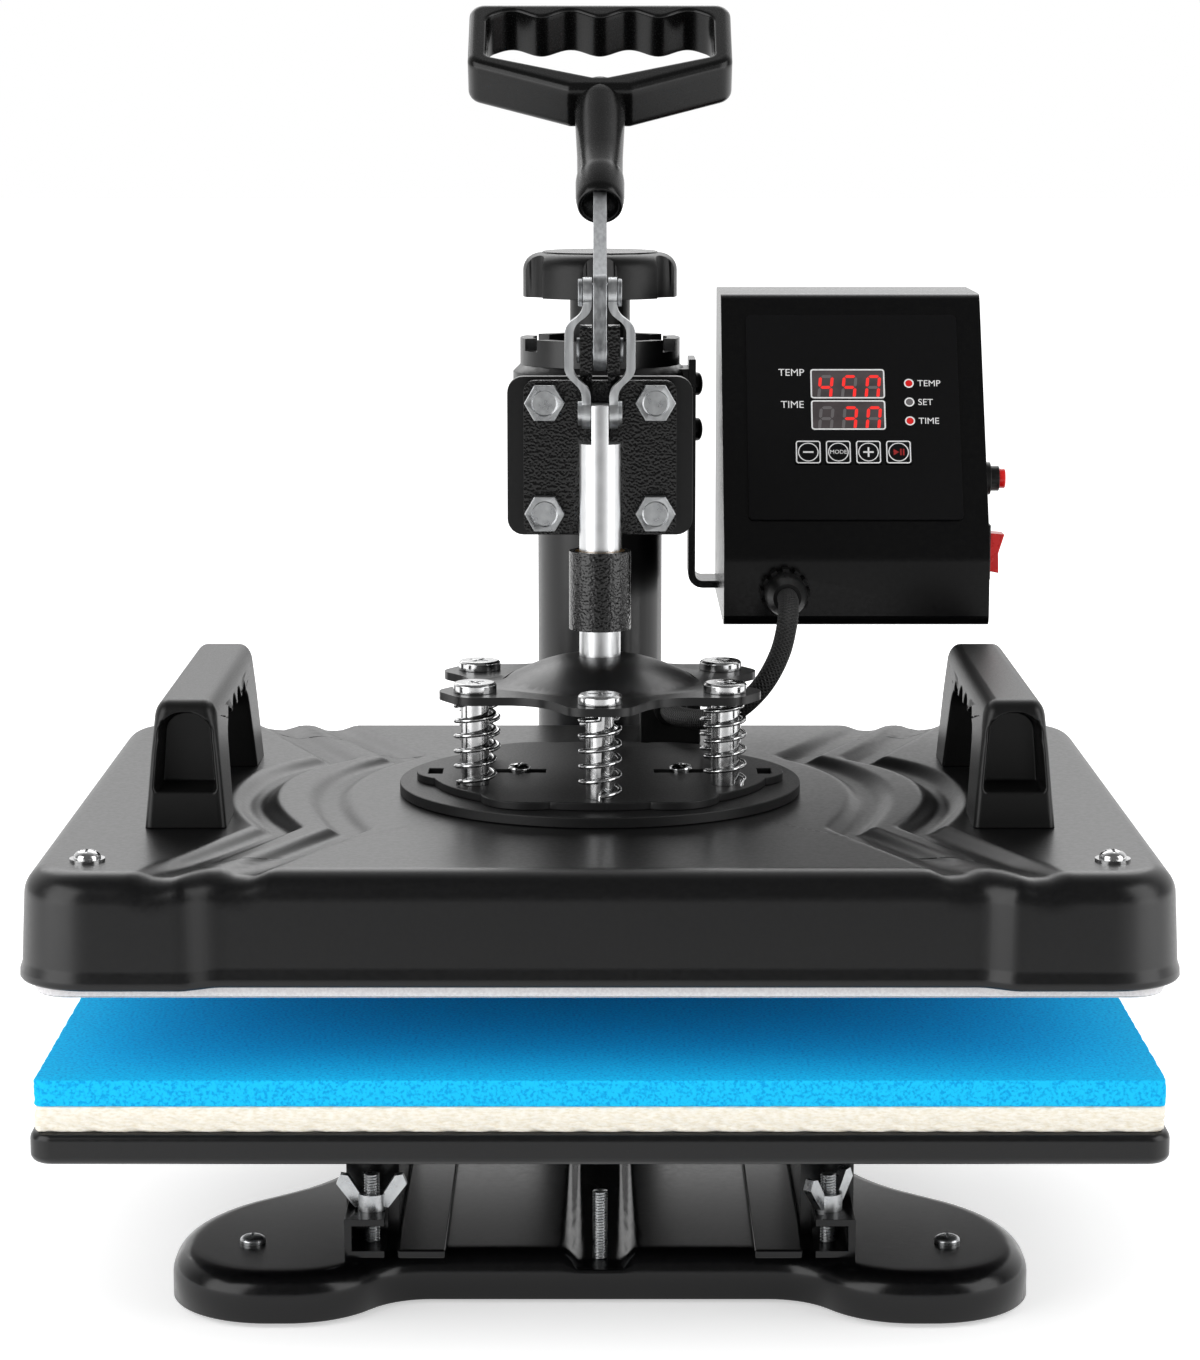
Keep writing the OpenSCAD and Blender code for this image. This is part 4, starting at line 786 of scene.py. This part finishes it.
def cover_grip(middle_x):
    """Rounded sections from one foot over the arch to the other, narrower towards the top.

    Four scallops raise the edge under the top bar. Each pocket pushes the end of its leg in to a flat floor,
    inside a drafted outline with a round top.
    """
    runs = (72, 60, 72, 2)

    def arch(half, top, radius):
        right = [(half[0], -FOOT_ROUND, FOOT_ROUND), (half[1], top, radius)]
        return matched_outline(right + [(-x, z, r) for x, z, r in reversed(right)], ARC_STEPS, runs)

    outer = arch(ARCH_OUT, GRIP_H, 6)
    inner = arch(ARCH_IN, GRIP_H - TOP_BAR, 10)
    for middle in np.arange(-1.5, 2) * SCALLOP_PITCH:
        lift = GRIP_H - SCALLOP_DROP + np.sqrt(np.maximum(SCALLOP_R ** 2 - (inner[:, 0] - middle) ** 2, 0))
        inner[:, 1] = np.where(inner[:, 1] > GRIP_H - TOP_BAR - 1, np.maximum(inner[:, 1], lift), inner[:, 1])
    outer_round = 2.4 + 3.4 * step(24, GRIP_H, outer[:, 1])
    plane, height = bar_sections(outer, inner, GRIP_FOOT, outer_round, 1.2, (58, 10, 10))
    # From one foot over the arch to the other, without the run below that closes the outline
    kept = slice(ARC_STEPS - 1, -ARC_STEPS - 1)
    y, z = plane[kept, :, 0], plane[kept, :, 1]
    x = height[kept] * (1 - (1 - GRIP_TOP / GRIP_FOOT) * z / GRIP_H)
    mid_z, half_z = (POCKET_LOW + POCKET_HIGH) / 2, (POCKET_HIGH - POCKET_LOW) / 2
    half_x = POCKET_HALF - POCKET_DRAFT * (z - POCKET_LOW) / (2 * half_z)
    corner = np.where(z > mid_z, 7.5, 1.5)
    past_x, past_z = np.abs(x) - half_x + corner, np.abs(z - mid_z) - half_z + corner
    edge = (np.hypot(np.maximum(past_x, 0), np.maximum(past_z, 0))
            + np.minimum(np.maximum(past_x, past_z), 0) - corner)
    y = y - np.sign(y) * np.maximum(np.abs(y) - POCKET_FLOOR, 0) * (1 - step(-1.5, 0.5, edge))
    grid = np.stack([middle_x + x, y, COVER_TOP + z], axis=-1)
    caps = [np.broadcast_to(grid[i].mean(axis=0), grid[:1].shape) for i in (0, -1)]
    return press(np.concatenate([caps[0], grid, caps[1]]))


place(grid_mesh("cover_grip_mouldings", [cover_grip(s * GRIP_X) for s in (-1, 1)]), grained_abs, "platen",
      "cover_handles")


# Threaded studs: a helical ridge round each rod

THREAD_PITCH = 1.0
# Root of the thread as a share of the rod's radius
THREAD_ROOT = 0.86
CLAMP_X = 81.0
CLAMP_Y = -84.0
STUD_Y = -82.0


def thread_grid(cx, cy, radius, low, high):
    """Radius rises and falls once per pitch along the rod and once round it; both ends are closed."""
    z = np.linspace(low, high, int((high - low) / THREAD_PITCH * 8))
    a = np.linspace(0, 2 * np.pi, 24, endpoint=False)
    ridge = np.abs(((z[:, None] / THREAD_PITCH - a / (2 * np.pi)) % 1) * 2 - 1)
    r = radius * (THREAD_ROOT + (1 - THREAD_ROOT) * ridge)
    rod = np.stack([cx + r * np.cos(a), cy + r * np.sin(a), np.broadcast_to(z[:, None], r.shape)], axis=-1)
    ends = [np.tile([cx, cy, end], (1, 24, 1)) for end in (low, high)]
    return press(np.concatenate([ends[0], rod, ends[1]]))


studs = [thread_grid(s * CLAMP_X, CLAMP_Y, 2.8, 11.5, 46.0) for s in (-1, 1)]
studs.append(thread_grid(0.0, STUD_Y, 2.7, 14.4, 39.0))
place(grid_mesh("stud_threads", studs), zinc, "base", "threaded_studs")


# Solids that keep their shape, with rounded edges: finish, edge radius in millimetres, segments, nodes
finishes = (
    (powder_coat, 0.6, 2, ["column"]),
    (base_coat, 0.8, 2, ["deck_rails"]),
    (base_coat, 0.6, 2, ["tray_legs"]),
    (powder_coat, 3.0, 5, ["lower_tray"]),
    (powder_coat, 0.6, 2, ["swing_collar", "collar_ring"]),
    (powder_coat, 1.5, 3, ["arm_beam"]),
    (powder_coat, 0.8, 3, ["head_plate"]),
    (hammertone, 0.6, 2, ["head_casting"]),
    (box_enamel, 0.6, 2, ["box_bracket"]),
    (nylon, 0.2, 2, ["bracket_bolts"]),
    (box_enamel, 0.3, 2, ["box_rear"]),
    (powder_coat, 0.4, 2, ["spider_plate"]),
    (plate_coat, 0.4, 2, ["lobed_plate"]),
    (plate_coat, 0.5, 2, ["swivel_disc"]),
    (rubber, 0.8, 2, ["rubber_feet"]),
    (zinc, 0.15, 2, ["foot_screws"]),
    (zinc, 0.3, 2, ["column_nut"]),
    (zinc, 0.7, 3, ["wing_nut_left", "wing_nut_right"]),
    (zinc, 0.4, 2, ["pressure_screw", "head_bolts"]),
    (sheared_steel, 0.3, 2, ["fulcrum_pin"]),
    (sheared_steel, 0.4, 2, ["lever_bar", "lever_pin"]),
    (zinc_strap, 0.5, 2, ["link_straps"]),
    (nickel, 0.2, 2, ["cover_screws"]),
    (ground_steel, 0.4, 2, ["ram"]),
    (nickel, 0.25, 2, ["spring_bolts"]),
    (bronze, 0.2, 2, ["ram_bush"]),
    (nylon, 1.6, 3, ["pressure_knob"]),
    (moulded_abs, 0.5, 2, ["knob_cap"]),
    (nylon, 0.4, 2, ["cable_gland"]),
    (nylon, 1.0, 3, ["cable_inlet"]),
    (nylon, 0.4, 2, ["power_inlet", "switch_housings"]),
    (overlay_film, 0.15, 2, ["control_panel"]),
    (overlay_film, 0.2, 2, ["minus_key", "mode_key", "plus_key", "start_key"]),
    (red_plastic, 0.5, 3, ["power_rocker", "reset_button"]),
    (red_plastic, 0.15, 2, ["indicator_lamps"]),
    (smoked_acrylic, 0.1, 2, ["display_windows"]),
    (solder_mask, 0.1, 1, ["circuit_board"]),
    (cast_aluminium, 0.5, 2, ["heating_plate"]),
    (natural_nylon, 0.3, 2, ["lift_bush"]),
)
for material, width_mm, segments, nodes in finishes:
    for node in nodes:
        dressed(node, material, width_mm, segments)
# The box's bends are flatter than the other edges, so its rounding starts at a smaller angle
dressed("box_front", box_enamel, 1.4, 4, 20.0)


# Marks on the control panel, laid out in its own plane: x across, s up the slope, n out of it

PANEL_LEAN = math.radians(30.0)
# The foot of the slope, and how far out of it ink, windows and keys lie
STEP_Y = 95.0
STEP_Z = 246.1
INK_N = 1.04
WINDOW_N = 1.34
KEY_N = 1.64
INK_T = 0.06


def on_panel(x, s, n):
    """Panel coordinates in millimetres to the row frame in metres."""
    x, s, n = np.broadcast_arrays(np.asarray(x, float), np.asarray(s, float), np.asarray(n, float))
    return press(np.stack([x, STEP_Y + s * math.sin(PANEL_LEAN) - n * math.cos(PANEL_LEAN),
                           STEP_Z + s * math.cos(PANEL_LEAN) + n * math.sin(PANEL_LEAN)], axis=-1))


def flat_mesh(name, shapes, n):
    """Thin plates on the panel, one for each closed outline of (x, s)."""
    points, faces, start = [], [], 0
    for shape in shapes:
        shape = np.asarray(shape, float)
        count = len(shape)
        for level in (n, n - INK_T):
            points.append(on_panel(shape[:, 0], shape[:, 1], level))
        loop = np.arange(count)
        faces.append(list(start + loop))
        faces.append(list(start + count + loop[::-1]))
        after = (loop + 1) % count
        faces += (start + np.stack([count + loop, count + after, after, loop], axis=-1)).tolist()
        start += 2 * count
    mesh = bpy.data.meshes.new(name)
    mesh.from_pydata(np.vstack(points), [], faces)
    return mesh


def bar_shape(x, s, width, height):
    """A rectangle about a middle point."""
    w, h = width / 2, height / 2
    return [(x - w, s - h), (x + w, s - h), (x + w, s + h), (x - w, s + h)]


def band(outer, inner):
    """Short strips between two closed outlines with as many points each."""
    outer, inner = np.asarray(outer), np.asarray(inner)
    return [[inner[i - 1], outer[i - 1], outer[i], inner[i]] for i in range(len(outer))]


def frame_strips(x, s, width, height, corner, line):
    """The outline of a rectangle with round corners, as short strips."""
    w, h = width / 2, height / 2
    outer = rounded_box(w, h, corner, 160)
    return band(outer + [x, s], inset(outer, line) + [x, s])


def circle(x, s, radius, count):
    """Points round a circle."""
    a = np.linspace(0, 2 * np.pi, count, endpoint=False)
    return np.column_stack([x + radius * np.cos(a), s + radius * np.sin(a)])


def circle_strips(x, s, radius, line):
    """A thin ring as short strips."""
    return band(circle(x, s, radius, 32), circle(x, s, radius - line, 32))


BARS_OF = {"0": "abcef", "3": "abcg", "4": "bcfg", "5": "acfg", " ": ""}
FIGURE_W = 4.7
FIGURE_H = 9.6
BAR_W = 1.25
BAR_GAP = 0.25
FIGURE_SLANT = 0.1


def digit(x, s, floor_s, keys):
    """Named bars of one slanted figure: a on top, g in the middle, f and b above, e and c below.

    What lies under the floor is cut off, as the window's edge does from the operator's place.
    """
    w, h = FIGURE_W / 2, FIGURE_H / 2
    bars = {"a": ((-w, h), (w, h)), "g": ((-w, 0), (w, 0)), "f": ((-w, 0), (-w, h)), "b": ((w, 0), (w, h)),
            "e": ((-w, -h), (-w, 0)), "c": ((w, -h), (w, 0))}
    shapes = []
    for key in keys:
        p, q = np.array(bars[key], float)
        run = unit(q - p)
        side = np.array([-run[1], run[0]]) * BAR_W / 2
        tip = run * BAR_W / 2
        p, q = p + run * BAR_GAP, q - run * BAR_GAP
        outline = np.array([p, p + tip - side, q - tip - side, q, q - tip + side, p + tip + side])
        outline[:, 0] += outline[:, 1] * FIGURE_SLANT
        outline += [x, s]
        outline[:, 1] = np.maximum(outline[:, 1], floor_s)
        shapes.append(outline)
    return shapes


BOX_MID = 101.5
WINDOW_X = BOX_MID - 2.1
WINDOW_W = 29.0
WINDOW_H = 12.2
TEMP_S = 72.2
TIME_S = 58.4
KEY_S = 42.0
KEY_SIZE = 9.9
KEY_PITCH = 12.0
FIGURE_PITCH = 9.5
keys_x = BOX_MID - 0.5 + (np.arange(4) - 1.5) * KEY_PITCH
window_lines, lit_bars, unlit_bars = [], [], []
for s, figures in ((TEMP_S, "450"), (TIME_S, " 30")):
    window_lines += frame_strips(WINDOW_X, s, WINDOW_W + 0.8, WINDOW_H + 0.8, 1.2, 0.6)
    for i, figure in enumerate(figures):
        x = WINDOW_X + 0.6 + (i - 1) * FIGURE_PITCH
        floor_s = s - WINDOW_H / 2 + 0.3
        lit_bars += digit(x, s - 1.6, floor_s, BARS_OF[figure])
        unlit_bars += digit(x, s - 1.6, floor_s, [k for k in "abcefg" if k not in BARS_OF[figure]])
place(flat_mesh("window_outlines", window_lines, WINDOW_N), white_ink, "arm")
place(flat_mesh("lit_figures", lit_bars, WINDOW_N), lit_segment, "arm")
# The unlit bars carry a faint painted glow
place(flat_mesh("unlit_figures", unlit_bars, WINDOW_N), unlit_segment_painted_glow, "arm")

SIGN_L = 4.2
SIGN_W = 0.7
key_marks = {
    "key_minus": [bar_shape(keys_x[0], KEY_S, SIGN_L, SIGN_W)],
    "key_mode": [],
    "key_plus": [bar_shape(keys_x[2], KEY_S, SIGN_L, SIGN_W), bar_shape(keys_x[2], KEY_S, SIGN_W, SIGN_L)],
    "key_start": [],
}
for x, (body, marks) in zip(keys_x, key_marks.items()):
    rim = frame_strips(x, KEY_S, KEY_SIZE, KEY_SIZE, 1.2, 0.5) + circle_strips(x, KEY_S, 4.1, 0.4)
    place(flat_mesh(body + "_marks", rim + marks, KEY_N), white_ink, body)
start_x = keys_x[3]
start_marks = [[(start_x - 2.0, KEY_S - 1.4), (start_x + 0.2, KEY_S), (start_x - 2.0, KEY_S + 1.4)],
               bar_shape(start_x + 0.9, KEY_S, 0.6, 2.8), bar_shape(start_x + 2.0, KEY_S, 0.6, 2.8)]
place(flat_mesh("key_start_symbol", start_marks, KEY_N), red_ink, "key_start")

LAMP_X = BOX_MID + 22.5
LAMP_R = 2.0
LAMP_LINE = 0.55
lamps_s = {"TEMP": 72.4, "SET": 64.1, "TIME": 55.8}
lamp_rings = [strip for s in lamps_s.values() for strip in circle_strips(LAMP_X, s, LAMP_R, LAMP_LINE)]
place(flat_mesh("lamp_rings", lamp_rings, WINDOW_N), white_ink, "arm")
set_lamp = circle(LAMP_X, lamps_s["SET"], LAMP_R - LAMP_LINE, 24)
# The unlit SET lamp carries the same faint painted glow
place(flat_mesh("set_lamp_unlit", [set_lamp], WINDOW_N), unlit_segment_painted_glow, "arm")


def label(name, words, x, s, height, body, n, align="LEFT"):
    """Flat words on the panel: the letters' outlines filled, then laid into the panel's plane."""
    curve = bpy.data.curves.new(name, "FONT")
    curve.body = words
    curve.size = height
    curve.align_x = align
    curve.align_y = "CENTER"
    curve.resolution_u = 4
    source = new_object(name + "_source", curve)
    graph = bpy.context.evaluated_depsgraph_get()
    mesh = bpy.data.meshes.new_from_object(source.evaluated_get(graph))
    bpy.data.objects.remove(source)
    mesh.name = name
    flat = np.empty(len(mesh.vertices) * 3)
    mesh.vertices.foreach_get("co", flat)
    flat = flat.reshape(-1, 3)
    mesh.vertices.foreach_set("co", on_panel(x + flat[:, 0], s + flat[:, 1], n).ravel())
    mesh.update()
    place(mesh, white_ink, body)


label("temp_label", "TEMP", 71.6, TEMP_S + 5.0, 4.4, "arm", INK_N)
label("time_label", "TIME", 72.4, TIME_S + 4.6, 4.4, "arm", INK_N)
for words, s in lamps_s.items():
    label(words.lower() + "_lamp_label", words, LAMP_X + 3.4, s, 3.9, "arm", INK_N)
label("mode_label", "MODE", keys_x[1], KEY_S, 2.4, "key_mode", KEY_N, "CENTER")


# Stage: pale floor that keeps the shadow, and soft light

def ray_kinds(tree):
    """Two outputs: 1 on a ray from the camera, and 1 on a ray off a mirror or through glass."""
    path = add(tree, "ShaderNodeLightPath")
    mirrored = combine(tree, "MAXIMUM", path.outputs["Is Glossy Ray"], path.outputs["Is Transmission Ray"])
    return path.outputs["Is Camera Ray"], mirrored


# White all round to the camera; in mirrors only the backdrop is bright, and it is dark overhead and in front
ROOM_LIGHT = 0.48
DARK_ROOM = 0.14
world = bpy.data.worlds.new("studio")
world.use_nodes = True
bpy.context.scene.world = world
tree = world.node_tree
background = tree.nodes["Background"]
background.inputs["Color"].default_value = (1.0, 1.0, 1.0, 1.0)
where = add(tree, "ShaderNodeTexCoord")
direction = add(tree, "ShaderNodeSeparateXYZ", {"Vector": where.outputs["Generated"]})
backdrop = ease(tree, direction.outputs["Y"], -0.1, 0.8, DARK_ROOM, 1.0)
from_camera, mirrored = ray_kinds(tree)
level = add(tree, "ShaderNodeMapRange", {"Value": combine(tree, "MAXIMUM", from_camera, mirrored),
                                         "To Min": ROOM_LIGHT,
                                         "To Max": combine(tree, "MAXIMUM", backdrop, from_camera)})
tree.links.new(level.outputs["Result"], background.inputs["Strength"])

floor_mesh = bpy.data.meshes.new("floor")
floor_mesh.from_pydata([(-6, -4, 0), (6, -4, 0), (6, 14, 0), (-6, 14, 0)], [], [(0, 1, 2, 3)])
floor = new_object("floor", floor_mesh)
paper = bpy.data.materials.new("pale_paper_sweep")
paper.use_nodes = True
tree = paper.node_tree
shader = tree.nodes["Principled BSDF"]
shader.inputs["Base Color"].default_value = linear("#f4f4f4")
shader.inputs["Roughness"].default_value = 0.9
shader.inputs["Specular IOR Level"].default_value = 0.1
shader.inputs["Emission Color"].default_value = (1.0, 1.0, 1.0, 1.0)
# To the camera the paper glows more with distance; in mirrors it is bright behind the press and beside it
spot = add(tree, "ShaderNodeNewGeometry")
away = add(tree, "ShaderNodeVectorMath", {0: spot.outputs["Position"]}, operation="LENGTH")
far = ease(tree, away.outputs["Value"], 0.3, 2.0, 0.5, 0.95)
place_on = add(tree, "ShaderNodeSeparateXYZ", {"Vector": spot.outputs["Position"]})
behind = ease(tree, place_on.outputs["Y"], -0.8, 0.0, 0.0, 0.5)
sideways = add(tree, "ShaderNodeMath", {0: place_on.outputs["X"]}, operation="ABSOLUTE")
beside = ease(tree, sideways.outputs[0], 0.4, 0.9, 0.0, 0.9)
from_camera, mirrored = ray_kinds(tree)
to_camera = combine(tree, "MULTIPLY", far, from_camera)
to_mirror = combine(tree, "MULTIPLY", combine(tree, "MAXIMUM", behind, beside), mirrored)
glow = combine(tree, "ADD", to_camera, to_mirror)
tree.links.new(glow, shader.inputs["Emission Strength"])
floor_mesh.materials.append(paper)


def softbox(name, place_mm, aim_mm, width, height, watts):
    """A rectangular soft light at a place, turned to face a point."""
    data = bpy.data.lights.new(name, "AREA")
    data.shape = "RECTANGLE"
    data.size = width
    data.size_y = height
    data.energy = watts
    lamp = new_object(name, data)
    lamp.location = press(place_mm)
    aim = Vector(press(aim_mm)) - lamp.location
    lamp.rotation_euler = aim.to_track_quat("-Z", "Y").to_euler()


softbox("back_softbox", (-100, 1400, 1300), (0, 0, 150), 2.0, 1.1, 13)
softbox("left_softbox", (-1400, -1000, 700), (0, 0, 200), 1.5, 1.9, 23)
softbox("right_softbox", (1500, -700, 700), (0, 0, 200), 1.1, 1.9, 16)
